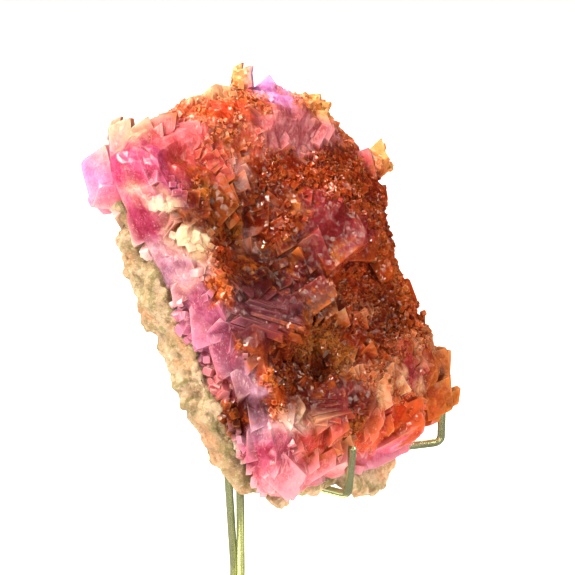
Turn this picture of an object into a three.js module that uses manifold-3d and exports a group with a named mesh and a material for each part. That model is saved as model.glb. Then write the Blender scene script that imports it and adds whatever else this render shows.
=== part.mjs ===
// A cobaltoan calcite specimen leaning on a bent-wire display stand. Millimetres, +Z up.
// The origin is the centre of the base's underside, and the stand's open front faces -Y.
import * as THREE from 'three';
import { mergeVertices } from 'three/addons/utils/BufferGeometryUtils.js';
import Module from 'manifold-3d';

const wasm = await Module();
wasm.setup();

// ---------------------------------------------------------------- driving dimensions
const GAP = 0.3; // clearance between neighbouring pieces

const BASE_DIAMETER = 60;
const BASE_THICKNESS = 5;
const BASE_BEVEL = 0.8;
const BASE_SEGMENTS = 48;

const WIRE_DIAMETER = 1.5;
const WIRE_SIDES = 8;
const WIRE_STEP = 1.6; // length of wire between two rings of its mesh
const BEND_RADIUS = 1.6;
const ARM_HEIGHT = 46; // middle of the two arms above the floor
const PRONG_HEIGHT = 10.6;
const PRONG_SPREAD = 1; // how far the left prong's tip leans out
const PRONG_Y = -17.6;
const LEFT_PRONG_X = -1.3;
const RIGHT_PRONG_X = 31.1;
const POST_X = -3.8;
const FRONT_LEG_Y = 7;
const LEG_SPACING = WIRE_DIAMETER + GAP;
const LEGS_PART = 24; // height at which the back leg starts to lean away
const BACK_LEG_SLOPE = 0.065;
const FOOT_DEPTH = 3; // depth of the wires' feet in the base
const REST_TOP = 22; // where the back rest ends, up the slab

const LEAN = THREE.MathUtils.degToRad(30);
const SLAB_CENTRE = new THREE.Vector3(0, 2, 84);
const MATRIX_BACK = -12;
const MATRIX_FRONT = -3;
const CRUST_FACE = 7; // height of the crust's face before its relief
const RIM_DROP = 2; // how far the crust's rounded edge lies below its face
const UNDERSIDE = -36.9; // the matrix's level underside, from the slab's centre
const RING_POINTS = 44;

// ---------------------------------------------------------------- materials
const stone = (color) => new THREE.MeshStandardMaterial({ color, roughness: 0.6, metalness: 0 });
const matrixFinish = stone(0xc9a878);
const crustFinish = stone(0xc4506a);
const brassFinish = new THREE.MeshStandardMaterial({ color: 0xb9ba84, roughness: 0.3, metalness: 1 });

// ---------------------------------------------------------------- the slab's own frame
// u runs along the slab, v up its face and n out of its face; the slab leans back by LEAN.
const V_AXIS = new THREE.Vector3(0, Math.sin(LEAN), Math.cos(LEAN));
const N_AXIS = new THREE.Vector3(0, -Math.cos(LEAN), Math.sin(LEAN));

function onSlab(u, v, n) {
  return new THREE.Vector3(u, 0, 0).addScaledVector(V_AXIS, v).addScaledVector(N_AXIS, n).add(SLAB_CENTRE);
}

// A direction given along u, v and n.
function slabDirection(u, v, n) {
  return new THREE.Vector3(u, 0, 0).addScaledVector(V_AXIS, v).addScaledVector(N_AXIS, n).normalize();
}

// ---------------------------------------------------------------- solids
function toSolid(geometry) {
  const bare = geometry.index ? geometry.toNonIndexed() : geometry.clone();
  bare.deleteAttribute('normal');
  bare.deleteAttribute('uv');
  const merged = mergeVertices(bare, 1e-4);
  return new wasm.Manifold(new wasm.Mesh({
    numProp: 3,
    vertProperties: new Float32Array(merged.attributes.position.array),
    triVerts: new Uint32Array(merged.index.array),
  }));
}

function toGeometry(solid) {
  const mesh = solid.getMesh();
  const geometry = new THREE.BufferGeometry();
  geometry.setAttribute('position', new THREE.BufferAttribute(mesh.vertProperties, 3));
  geometry.setIndex(new THREE.BufferAttribute(mesh.triVerts, 1));
  return geometry;
}

// A closed body from rings of equal length between two poles, seen anticlockwise from the last pole.
function lofted(rings, firstPole, lastPole) {
  const count = rings[0].length;
  const positions = [...rings.flat(), firstPole, lastPole].flatMap((point) => point.toArray());
  const first = rings.length * count;
  const indices = [];
  for (let i = 0; i < count; i += 1) {
    const next = (i + 1) % count;
    const top = (rings.length - 1) * count;
    indices.push(first, next, i, first + 1, top + i, top + next);
    for (let ring = 0; ring + 1 < rings.length; ring += 1) {
      const low = ring * count;
      const high = low + count;
      indices.push(low + i, low + next, high + next, low + i, high + next, high + i);
    }
  }
  const geometry = new THREE.BufferGeometry();
  geometry.setAttribute('position', new THREE.Float32BufferAttribute(positions, 3));
  geometry.setIndex(indices);
  return geometry;
}

function smoothstep(from, to, value) {
  return THREE.MathUtils.smoothstep(value, Math.min(from, to), Math.max(from, to));
}

// ---------------------------------------------------------------- the matrix
const MATRIX_OUTLINE = [
  [-20, 30], [-22.5, 20], [-25, 11], [-25, 4], [-24, -2], [-25, -14], [-24, -22], [-23, -29],
  [-19.5, -35], [-10, -36.5], [0, -38], [12, -39.5], [23, -38], [28, -33], [30, -22], [29, -8],
  [32, 4], [34, 14], [31, 25], [23, 33], [8, 35], [-8, 34],
];

function closedOutline(points) {
  const corners = points.map(([u, v]) => new THREE.Vector3(u, v, 0));
  const curve = new THREE.CatmullRomCurve3(corners, true, 'centripetal');
  return curve.getSpacedPoints(RING_POINTS).slice(0, RING_POINTS);
}

// The underside is level where the arms carry it. It rises to the left of them, and between
// them the front edge hangs a little lower.
function levelUnderside(u, v, n) {
  const rise = 0.14 * Math.max(0, -1 - u);
  const hang = 1.8 * Math.exp(-(((u - 9) / 6) ** 2)) * smoothstep(-9, -3.5, n);
  const lowest = (UNDERSIDE + rise - hang - n * Math.sin(LEAN)) / Math.cos(LEAN);
  const middle = (MATRIX_BACK + MATRIX_FRONT) / 2;
  const shift = (middle - n) * Math.tan(LEAN) * (1 - smoothstep(-36, -20, v));
  return Math.max(v + shift, lowest);
}

// Rounded lumps of the broken rock, as a fraction of its radius.
function rockLumps(angle, n) {
  return 0.02 * Math.sin(9 * angle + n) + 0.018 * Math.sin(17 * angle - 0.8 * n);
}

function matrixRing(outline, scale, height, grow) {
  return outline.map((point, i) => {
    const angle = (2 * Math.PI * i) / outline.length;
    const reach = scale * (1 + rockLumps(angle, height)) + (scale * grow) / 24;
    const u = point.x * reach;
    const ripple = 0.5 * Math.sin(0.33 * u + 0.21 * point.y) * (1 - scale * scale);
    const below = point.y < -30 ? grow : 0;
    return onSlab(u, levelUnderside(u, point.y * reach, height) - below, height + ripple);
  });
}

function matrixSolid(grow = 0) {
  const outline = closedOutline(MATRIX_OUTLINE);
  const back = MATRIX_BACK - grow;
  const front = MATRIX_FRONT + grow;
  const profile = [
    [0.35, back], [0.7, back + 0.2], [0.9, back + 0.6], [0.985, back + 2], [1.02, back + 4],
    [1.02, front - 3], [1, front - 1], [0.97, front], [0.7, front], [0.35, front],
  ];
  const rings = profile.map(([scale, height]) => matrixRing(outline, scale, height, grow));
  return toSolid(lofted(rings, onSlab(0, 0, back), onSlab(0, 0, front)));
}

// ---------------------------------------------------------------- the calcite crust
const CRUST_OUTLINE = [
  [-24, 32], [-25, 25], [-24, 14], [-23, 4], [-21.5, -8], [-21.5, -20], [-22, -30], [-20, -36],
  [-12, -37.5], [-3, -38.5], [6, -40], [15, -40], [24, -39], [30, -36], [33.5, -30], [34.5, -23],
  [32, -15], [32, -6], [35, 3], [38, 11], [37, 18], [32, 25], [27, 31], [19, 36], [9, 38], [0, 36],
  [-8, 33.5], [-16, 33.5],
];

// Swells and hollows of the crust's face: place (u, v), spread along u and v, height.
const RELIEF = [
  [13, 8, 12, 9, 5.5], // the central boss
  [-9, -7, 9, 4.5, 4], // the ledge below the hollow
  [-9, 9, 8, 8, -4.5], // the deep hollow
  [-2, -17, 9, 7, -2], // the shallow hollow under the ledge
  [-18, 4, 3.5, 12, 1.5], // the left rim
  [14, 26, 12, 6, 1.5], // the striated shoulder
  [-14, 28, 8, 7, -2], // the slope at the upper left
  [18, -20, 11, 11, 1.5], // the swell of pointed crystals
  [-1.3, -38, 5, 7, -2.5], // the bay where the left prong stands
];

function crustHeight(u, v) {
  let height = CRUST_FACE;
  for (const [centreU, centreV, spreadU, spreadV, rise] of RELIEF) {
    height += rise * Math.exp(-(((u - centreU) / spreadU) ** 2) - ((v - centreV) / spreadV) ** 2);
  }
  height -= 6.5 * (1 - smoothstep(-39, -26, v));
  height -= 4 * smoothstep(29, 40, v);
  height -= 3 * smoothstep(27, 38, u);
  return Math.max(height, MATRIX_FRONT + 1);
}

function crustSolid() {
  const outline = closedOutline(CRUST_OUTLINE);
  const under = MATRIX_FRONT - 0.6;
  const profile = [[0.5, under], [0.97, under], [1, under + 1.5], [1.01, 0], [1, 2.5]];
  const rings = profile.map(([scale, height]) => outline.map((point) => {
    const rim = Math.min(height, crustHeight(point.x, point.y) - RIM_DROP);
    return onSlab(point.x * scale, point.y * scale, rim);
  }));
  for (const scale of [0.95, 0.87, 0.75, 0.62, 0.48, 0.34, 0.18]) {
    rings.push(outline.map((point) => {
      const u = point.x * scale;
      const v = point.y * scale;
      return onSlab(u, v, crustHeight(u, v) - (scale > 0.9 ? RIM_DROP : 0));
    }));
  }
  return toSolid(lofted(rings, onSlab(0, 0, under), onSlab(0, 0, crustHeight(0, 0))));
}

// A six-sided pointed crystal standing on `foot` and pointing along `direction`.
function pointedCrystal(foot, direction, radius, length, turn) {
  const shape = new THREE.ConeGeometry(radius, length, 6, 1);
  shape.rotateY(turn);
  shape.translate(0, length / 2, 0);
  shape.applyQuaternion(new THREE.Quaternion().setFromUnitVectors(new THREE.Vector3(0, 1, 0), direction));
  shape.translate(foot.x, foot.y, foot.z);
  return toSolid(shape);
}

// A rhomb: a cube squashed along the diagonal that points along `direction`.
function rhombCrystal(centre, direction, edge, turn) {
  const shape = new THREE.BoxGeometry(edge, edge, edge);
  const diagonal = new THREE.Vector3(1, 1, 1).normalize();
  const upright = new THREE.Vector3(0, 1, 0);
  shape.applyQuaternion(new THREE.Quaternion().setFromUnitVectors(diagonal, upright));
  shape.scale(1.12, 0.8, 1.12);
  shape.rotateY(turn);
  shape.applyQuaternion(new THREE.Quaternion().setFromUnitVectors(upright, direction));
  shape.translate(centre.x, centre.y, centre.z);
  return toSolid(shape);
}

// The large blocky crystals: place (u, v, n), edge, and the way the corner points (u, v, n).
const BLOCKS = [
  [-20.5, 26, -3, 10, -0.8, 0.3, 0.5], // rose blocks that overhang the upper left corner
  [-22.5, 25, -7, 6, -1, 0.1, 0.1],
  [-20, 18, -1, 8, -0.9, -0.2, 0.5],
  [-22.5, 30, -7, 6, -0.9, 0.5, -0.1],
  [-20.5, 33.5, -2, 5.5, -0.4, 0.9, 0.2],
  [-14, 32, -1, 5.5, -0.2, 0.9, 0.3],
  [-8, 32.5, 0, 5.5, 0, 1, 0.3],
  [-1, 34, 0, 6, 0.1, 1, 0.3],
  [5, 35, 1, 6, 0.1, 1, 0.2], // the row along the top edge
  [12, 39, 1, 4.4, 0.2, 1, 0.2],
  [18, 35, 2, 6, 0.3, 1, 0.2],
  [25, 33, 2, 6, 0.5, 0.9, 0.2],
  [31, 27, 2, 6, 0.8, 0.5, 0.3], // the right edge
  [39.5, 17.5, 4, 4.6, 1, 0.4, 0.4],
  [35, 17, 3.5, 6, 0.9, 0.3, 0.5],
  [36, 7, 3.5, 5.5, 1, 0, 0.4],
  [30.5, -5, 4, 5, 1, -0.1, 0.5],
  [30.5, -15, 4, 5, 1, 0, 0.4],
  [33, -25, 4, 5.5, 1, -0.1, 0.4],
  [29, -34, 5, 5.5, 0.9, -0.5, 0.4], // the lower right corner
  [21, -35, 2.5, 6, 0.2, -0.7, 0.8],
  [10, -36, 1, 6, 0, -0.8, 0.7], // the lower edge
  [-9, -33, 3, 6.5, -0.2, -0.7, 0.8],
  [-18.5, -32.5, 2, 8, -0.6, -0.8, 0.4],
  [-19.5, -24, 2, 6.5, -1, 0, 0.5], // steps down the left side
  [-20, -13, 1.5, 7, -1, 0.1, 0.5],
  [-20, -3, 2, 6.5, -1, 0, 0.5],
  [-21, 7, 1, 7, -1, 0.2, 0.4],
  [-18.5, 13, 6, 5, -0.3, 0.4, 0.9], // the pale crystal on the left rim
  [12, 9, 8, 10, 0.2, 0.4, 0.9], // the faces of the central boss
  [20, 4, 6.5, 8, 0.4, -0.2, 0.9],
  [6, 14, 6, 7, -0.3, 0.5, 0.8],
  [-13, -5, 5.5, 8, -0.2, 0.6, 0.8], // the ledge
  [-5, -7, 6, 8, 0.1, 0.5, 0.8],
  [9, -7, 6, 7, 0, 0.5, 0.8],
  [14, 25, 5, 8, 0.1, 0.5, 0.8], // the striated shoulder
  [22, 22, 4.5, 7, 0.4, 0.4, 0.8],
  [0, 27, 4.5, 7, -0.2, 0.4, 0.9],
  [-13, 27, 3, 7, -0.4, 0.4, 0.8],
];

// Pointed crystals cover the rest of the face, on a loose grid.
const POINT_SPACING = 7.4;
const POINT_RADIUS = 3.6;
const POINT_RISE = 3;
const POINT_ROOT = 3;

// A repeatable scatter value between 0 and 1.
function scatter(i, j, salt) {
  const wave = Math.sin(i * 127.1 + j * 311.7 + salt * 74.7) * 43758.5453;
  return wave - Math.floor(wave);
}

function pointedCrystals() {
  const crystals = [];
  for (let i = -3; i <= 4; i += 1) {
    for (let j = -5; j <= 5; j += 1) {
      const u = 2 + (i + scatter(i, j, 1) * 0.6) * POINT_SPACING - (j * POINT_SPACING) / 12;
      const v = (j + scatter(i, j, 2) * 0.6 - 0.3) * POINT_SPACING * 0.95;
      if (u < -20 || u > 32 || Math.abs(v) > 35) continue;
      const lean = slabDirection(scatter(i, j, 3) - 0.45, scatter(i, j, 4) - 0.35, 1.3);
      const foot = onSlab(u, v, crustHeight(u, v) - POINT_ROOT);
      const size = 0.75 + 0.5 * scatter(i, j, 5);
      const length = POINT_ROOT + POINT_RISE * size;
      crystals.push(pointedCrystal(foot, lean, POINT_RADIUS * size, length, scatter(i, j, 6) * Math.PI));
    }
  }
  return crystals;
}

function blockyCrystals() {
  return BLOCKS.map(([u, v, n, edge, alongU, alongV, alongN], i) => (
    rhombCrystal(onSlab(u, v, n), slabDirection(alongU, alongV, alongN), edge, scatter(i, 0, 7) * Math.PI)
  ));
}

// ---------------------------------------------------------------- the wire stand
// A route through `corners` with every inner corner rounded.
function roundedRoute(corners) {
  const route = new THREE.CurvePath();
  let start = corners[0];
  for (let i = 1; i + 1 < corners.length; i += 1) {
    const corner = corners[i];
    const before = start.clone().sub(corner);
    const after = corners[i + 1].clone().sub(corner);
    const opening = before.angleTo(after) / 2;
    const reach = Math.min(BEND_RADIUS / Math.tan(opening), 0.45 * before.length(), 0.45 * after.length());
    const entry = corner.clone().addScaledVector(before.normalize(), reach);
    const exit = corner.clone().addScaledVector(after.normalize(), reach);
    route.add(new THREE.LineCurve3(start, entry));
    route.add(new THREE.QuadraticBezierCurve3(entry, corner, exit));
    start = exit;
  }
  route.add(new THREE.LineCurve3(start, corners[corners.length - 1]));
  return route;
}

function wire(corners, radius = WIRE_DIAMETER / 2) {
  const section = Array.from({ length: WIRE_SIDES }, (_, i) => {
    const angle = (2 * Math.PI * i) / WIRE_SIDES;
    return new THREE.Vector2(radius * Math.cos(angle), radius * Math.sin(angle));
  });
  const route = roundedRoute(corners);
  const steps = Math.round(route.getLength() / WIRE_STEP);
  return toSolid(new THREE.ExtrudeGeometry(new THREE.Shape(section), { steps, extrudePath: route }));
}

// The left arm is the front leg's own wire, bent forward and then up into a prong.
function frontWireRoute() {
  return [
    new THREE.Vector3(POST_X, FRONT_LEG_Y, BASE_THICKNESS - FOOT_DEPTH + GAP),
    new THREE.Vector3(POST_X, FRONT_LEG_Y, ARM_HEIGHT),
    new THREE.Vector3(LEFT_PRONG_X, PRONG_Y, ARM_HEIGHT),
    new THREE.Vector3(LEFT_PRONG_X, PRONG_Y - PRONG_SPREAD, ARM_HEIGHT + PRONG_HEIGHT),
  ];
}

// The right arm is joined to the side of the left one, just in front of the leg.
function rightArmRoute() {
  return [
    new THREE.Vector3(POST_X + WIRE_DIAMETER + GAP + 0.1, FRONT_LEG_Y - WIRE_DIAMETER, ARM_HEIGHT),
    new THREE.Vector3(RIGHT_PRONG_X, PRONG_Y, ARM_HEIGHT),
    new THREE.Vector3(RIGHT_PRONG_X, PRONG_Y, ARM_HEIGHT + PRONG_HEIGHT),
  ];
}

// The back leg leans away from the front one and then follows the slab's back.
function backWireRoute() {
  const behind = MATRIX_BACK - 2 * GAP - WIRE_DIAMETER;
  const legY = FRONT_LEG_Y + LEG_SPACING;
  // Where the leaning leg meets the plane `behind` the slab, by its height above the parting.
  const slabRise = Math.tan(Math.PI / 2 - LEAN);
  const planeZ = SLAB_CENTRE.z + behind / Math.sin(LEAN) + (legY - SLAB_CENTRE.y) * slabRise;
  const shoulder = (planeZ - LEGS_PART) / (1 - BACK_LEG_SLOPE * slabRise);
  return [
    new THREE.Vector3(POST_X, legY, BASE_THICKNESS - FOOT_DEPTH + GAP),
    new THREE.Vector3(POST_X, legY, LEGS_PART),
    new THREE.Vector3(POST_X, legY + shoulder * BACK_LEG_SLOPE, LEGS_PART + shoulder),
    onSlab(POST_X, REST_TOP, behind),
  ];
}

function baseSolid() {
  const radius = BASE_DIAMETER / 2;
  const profile = [
    [0, 0], [radius - BASE_BEVEL, 0], [radius, BASE_BEVEL], [radius, BASE_THICKNESS - BASE_BEVEL],
    [radius - BASE_BEVEL, BASE_THICKNESS], [0, BASE_THICKNESS],
  ].map(([x, y]) => new THREE.Vector2(x, y));
  const disc = new THREE.LatheGeometry(profile, BASE_SEGMENTS);
  disc.rotateX(Math.PI / 2);
  let solid = toSolid(disc);
  const socketRadius = WIRE_DIAMETER / 2 + GAP;
  for (const y of [FRONT_LEG_Y, FRONT_LEG_Y + LEG_SPACING]) {
    const socket = new THREE.CylinderGeometry(socketRadius, socketRadius, 2 * FOOT_DEPTH, 2 * WIRE_SIDES);
    socket.rotateX(Math.PI / 2);
    socket.translate(POST_X, y, BASE_THICKNESS);
    solid = solid.subtract(toSolid(socket));
  }
  return solid;
}

// ---------------------------------------------------------------- the object
const wireRoutes = { front_wire: frontWireRoute(), right_arm: rightArmRoute(), back_wire: backWireRoute() };
const wireRoom = Object.values(wireRoutes).map((route) => wire(route, WIRE_DIAMETER / 2 + GAP));

function clearOfWires(solid) {
  return wireRoom.reduce((rest, room) => rest.subtract(room), solid);
}

function piece(name, solid, finish) {
  const mesh = new THREE.Mesh(toGeometry(solid), finish);
  mesh.name = name;
  return mesh;
}

const crystals = [...pointedCrystals(), ...blockyCrystals()];
const grown = crystals.reduce((whole, crystal) => whole.add(crystal), crustSolid());
const crust = grown.subtract(matrixSolid(GAP));

const group = new THREE.Group();
group.add(piece('base', baseSolid(), brassFinish));
for (const [name, route] of Object.entries(wireRoutes)) group.add(piece(name, wire(route), brassFinish));
group.add(piece('matrix', clearOfWires(matrixSolid()), matrixFinish));
group.add(piece('calcite_crust', clearOfWires(crust), crustFinish));

export default group;
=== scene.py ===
"""A cobaltoan calcite specimen leaning on its bent-wire display stand."""
import math
import random

import bmesh
import bpy
import numpy as np
from mathutils import Matrix, Vector, noise
from mathutils.bvhtree import BVHTree


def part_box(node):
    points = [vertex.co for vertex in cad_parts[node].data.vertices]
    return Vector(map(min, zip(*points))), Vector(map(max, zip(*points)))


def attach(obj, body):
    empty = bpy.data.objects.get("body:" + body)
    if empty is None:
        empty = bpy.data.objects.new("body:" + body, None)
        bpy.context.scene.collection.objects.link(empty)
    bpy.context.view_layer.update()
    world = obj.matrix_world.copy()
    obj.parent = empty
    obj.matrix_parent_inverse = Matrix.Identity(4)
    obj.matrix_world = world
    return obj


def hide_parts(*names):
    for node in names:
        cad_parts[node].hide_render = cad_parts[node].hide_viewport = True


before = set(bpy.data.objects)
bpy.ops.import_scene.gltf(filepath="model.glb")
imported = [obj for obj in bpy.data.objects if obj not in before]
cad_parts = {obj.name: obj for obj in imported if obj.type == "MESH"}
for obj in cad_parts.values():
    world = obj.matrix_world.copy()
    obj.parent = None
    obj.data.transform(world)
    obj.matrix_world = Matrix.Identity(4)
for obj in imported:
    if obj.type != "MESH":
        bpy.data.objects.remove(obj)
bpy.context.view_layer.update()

MM = 0.001
scene = bpy.context.scene

# ---------------------------------------------------------------- the slab's own frame
# u runs along the slab, v up its face and n out of its face, in millimetres.
LEAN = math.radians(30)
AXES = np.array([
    [1, 0, 0],
    [0, math.sin(LEAN), math.cos(LEAN)],
    [0, -math.cos(LEAN), math.sin(LEAN)],
])
CRUST_BOX = [np.array(corner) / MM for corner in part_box("calcite_crust")]
MIDDLE_TO_CENTRE = (-7.4, -0.75, -0.55)  # from the middle of the crust's box to the slab's centre
SLAB_CENTRE = (CRUST_BOX[0] + CRUST_BOX[1]) / 2 + MIDDLE_TO_CENTRE


def on_slab(points):
    """Places given as (u, v, n) millimetres, in metres in the row's frame."""
    return (np.asarray(points, float) @ AXES + SLAB_CENTRE) * MM


def from_slab(points):
    """Places in metres in the row's frame, as (u, v, n) millimetres."""
    return (np.asarray(points, float) / MM - SLAB_CENTRE) @ AXES.T


def unit(vector):
    """The vector scaled to length 1."""
    vector = np.asarray(vector, float)
    return vector / np.linalg.norm(vector)


def smoothstep(low, high, value):
    """0 below `low`, 1 above `high`, smooth between."""
    t = np.clip((value - low) / (high - low), 0, 1)
    return t * t * (3 - 2 * t)


def scatter(spread, count=3):
    """Random numbers round zero."""
    return np.array([random.gauss(0, spread) for _ in range(count)])


# ---------------------------------------------------------------- camera, floor and light
VIEW_AZIMUTH = math.radians(-52)
VIEW_ELEVATION = math.radians(18)
VIEW_DISTANCE = 320
VIEW_CENTRE = np.array([1.775, -0.608, 83.365])
WARM = (1, 0.94, 0.86)
COOL = (1, 1, 0.96)


def set_camera():
    back = np.array([
        math.sin(VIEW_AZIMUTH) * math.cos(VIEW_ELEVATION),
        -math.cos(VIEW_AZIMUTH) * math.cos(VIEW_ELEVATION),
        math.sin(VIEW_ELEVATION),
    ])
    data = bpy.data.cameras.new("camera")
    data.lens = 105
    data.sensor_width = 36
    data.clip_start = 0.01
    data.clip_end = 50
    camera = bpy.data.objects.new("camera", data)
    camera.location = (VIEW_CENTRE + back * VIEW_DISTANCE) * MM
    camera.rotation_euler = Vector(-back).to_track_quat("-Z", "Y").to_euler()
    scene.collection.objects.link(camera)
    scene.camera = camera


def area_light(name, place, target, size, power, colour=WARM, only=None, glints_only=False):
    """A rectangular light in metres, aimed at `target`, on everything or `only` on a collection."""
    data = bpy.data.lights.new(name, "AREA")
    data.shape = "RECTANGLE"
    data.size, data.size_y = size
    data.energy = power
    data.color = colour
    light = bpy.data.objects.new(name, data)
    light.location = place
    aim = Vector(target) - Vector(place)
    light.rotation_euler = aim.to_track_quat("-Z", "Y").to_euler()
    light.light_linking.receiver_collection = only
    light.visible_diffuse = not glints_only
    scene.collection.objects.link(light)


# ---------------------------------------------------------------- node building
def add_node(tree, kind, inputs=None, output=0, **settings):
    """Adds a node, sets its settings first and then its sockets, and returns one output."""
    node = tree.nodes.new(kind)
    for key, value in settings.items():
        setattr(node, key, value)
    for key, value in (inputs or {}).items():
        if isinstance(value, Signal):
            tree.links.new(value.socket, node.inputs[key])
        else:
            node.inputs[key].default_value = value
    return Signal(tree, node.outputs[output]) if node.outputs else None


def arithmetic(operation, swapped=False):
    """A method of Signal for one sign, with the signal on its left or, swapped, on its right."""
    def method(self, other):
        first, second = (other, self) if swapped else (self, other)
        return add_node(self.tree, "ShaderNodeMath", {0: first, 1: second}, operation=operation)
    return method


class Signal:
    """One output socket, used as a number in an expression."""

    def __init__(self, tree, socket):
        self.tree = tree
        self.socket = socket

    __add__, __radd__ = arithmetic("ADD"), arithmetic("ADD", swapped=True)
    __sub__, __rsub__ = arithmetic("SUBTRACT"), arithmetic("SUBTRACT", swapped=True)
    __mul__, __rmul__ = arithmetic("MULTIPLY"), arithmetic("MULTIPLY", swapped=True)
    __rtruediv__ = arithmetic("DIVIDE", swapped=True)

    def step(self, low, high):
        """0 below `low`, 1 above `high`, smooth between."""
        return add_node(self.tree, "ShaderNodeMapRange", {
            "Value": self, "From Min": low, "From Max": high, "To Min": 0.0, "To Max": 1.0,
        }, interpolation_type="SMOOTHSTEP")

    def vector(self, operation, other=None, scale=None, output=0):
        """Vector arithmetic on this socket, with another vector or a scale."""
        inputs = {0: self}
        if other is not None:
            inputs[1] = other
        if scale is not None:
            inputs["Scale"] = scale
        return add_node(self.tree, "ShaderNodeVectorMath", inputs, output, operation=operation)


class Finish:
    """A material and the nodes that make it."""

    def __init__(self, name):
        self.material = bpy.data.materials.new(name)
        self.material.use_nodes = True
        self.tree = self.material.node_tree
        self.tree.nodes.clear()
        self.place = self.node("ShaderNodeTexCoord", output="Object")

    def node(self, kind, inputs=None, output=0, **settings):
        return add_node(self.tree, kind, inputs, output, **settings)

    def attribute(self, name, output="Fac"):
        return self.node("ShaderNodeAttribute", output=output, attribute_name=name)

    def mix(self, amount, first, second, mode="MIX"):
        """The first colour where `amount` is 0, the second where it is 1."""
        first, second = (
            colour if isinstance(colour, Signal) else (*colour, 1) for colour in (first, second))
        return self.node("ShaderNodeMix", {0: amount, 6: first, 7: second}, 2,
                         data_type="RGBA", blend_type=mode, clamp_factor=True)

    def stretched(self, along, factor):
        """Object coordinates squeezed along one slab direction, so that a pattern runs along it."""
        direction = tuple(unit(np.asarray(along, float) @ AXES))
        reach = self.place.vector("DOT_PRODUCT", direction, output="Value")
        shift = self.node(
            "ShaderNodeVectorMath", {0: direction, "Scale": reach * (factor - 1)}, operation="SCALE")
        return self.place.vector("ADD", shift)

    def noise(self, size, detail=3, roughness=0.55, place=None, distortion=0.0):
        """Cloudy noise whose lumps are about `size` millimetres across."""
        return self.node("ShaderNodeTexNoise", {
            "Vector": place or self.place, "Scale": 1 / (size * MM), "Detail": detail,
            "Roughness": roughness, "Distortion": distortion})

    def cells(self, size, output="Distance"):
        """Irregular cells about `size` millimetres across."""
        inputs = {"Vector": self.place, "Scale": 1 / (size * MM)}
        return self.node("ShaderNodeTexVoronoi", inputs, output)

    def hidden(self, reach, low, high, **settings):
        """Ambient occlusion within `reach` millimetres, 0 where it is `low` and 1 where `high`."""
        found = self.node(
            "ShaderNodeAmbientOcclusion", {"Distance": reach * MM}, "AO", samples=6, **settings)
        return found.step(low, high)

    def bump(self, height, depth, below=None):
        """Raises the surface by `depth` millimetres where `height` is 1."""
        inputs = {"Height": height, "Distance": depth * MM}
        if below:
            inputs["Normal"] = below
        return self.node("ShaderNodeBump", inputs)

    def surface(self, **sockets):
        """Ends the material with a principled shader that has these sockets."""
        shader = self.node("ShaderNodeBsdfPrincipled", {
            name.replace("_", " "): value for name, value in sockets.items()})
        self.node("ShaderNodeOutputMaterial", {"Surface": shader})
        return self.material


def paint(code):
    """A linear colour from six hexadecimal digits."""
    parts = [int(code[i:i + 2], 16) / 255 for i in (0, 2, 4)]
    return tuple(p / 12.92 if p <= 0.04045 else ((p + 0.055) / 1.055) ** 2.4 for p in parts)


# ---------------------------------------------------------------- colours and shape of the crust
TINTS = {
    "hot_pink": "d05484", "rose": "c46c90", "bright_pink": "f8a4b0", "raspberry": "bc4c70",
    "lilac": "bc88a0", "violet": "e488c4", "peach": "fcd0a0", "white": "fcd8cc", "cream": "f8dcb4",
    "flush": "f07880", "apricot": "dc8848", "blush": "d07880", "coral": "dc5850", "salmon": "d46840",
    "red_orange": "e85820", "orange": "cc5c18", "amber": "fcb468", "ochre": "b4661c", "rust": "ac380c",
    "brown": "822a08", "maroon": "78180a", "plum": "7c2026", "heather": "743a44", "cherry": "b03c4c",
    "mauve": "c0626a", "deep_plum": "44080a", "grey_brown": "7c4c3c", "frost": "f0c0b8", "honey": "d07c30",
    "bone": "f0d8b8", "shell": "d4ac8c", "garnet": "a0343c", "lavender": "f8b4ec", "sunset": "f07848",
    "pale_pink": "fca0bc",
}
TINTS = {name: np.array(paint(code)) for name, code in TINTS.items()}

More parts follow.
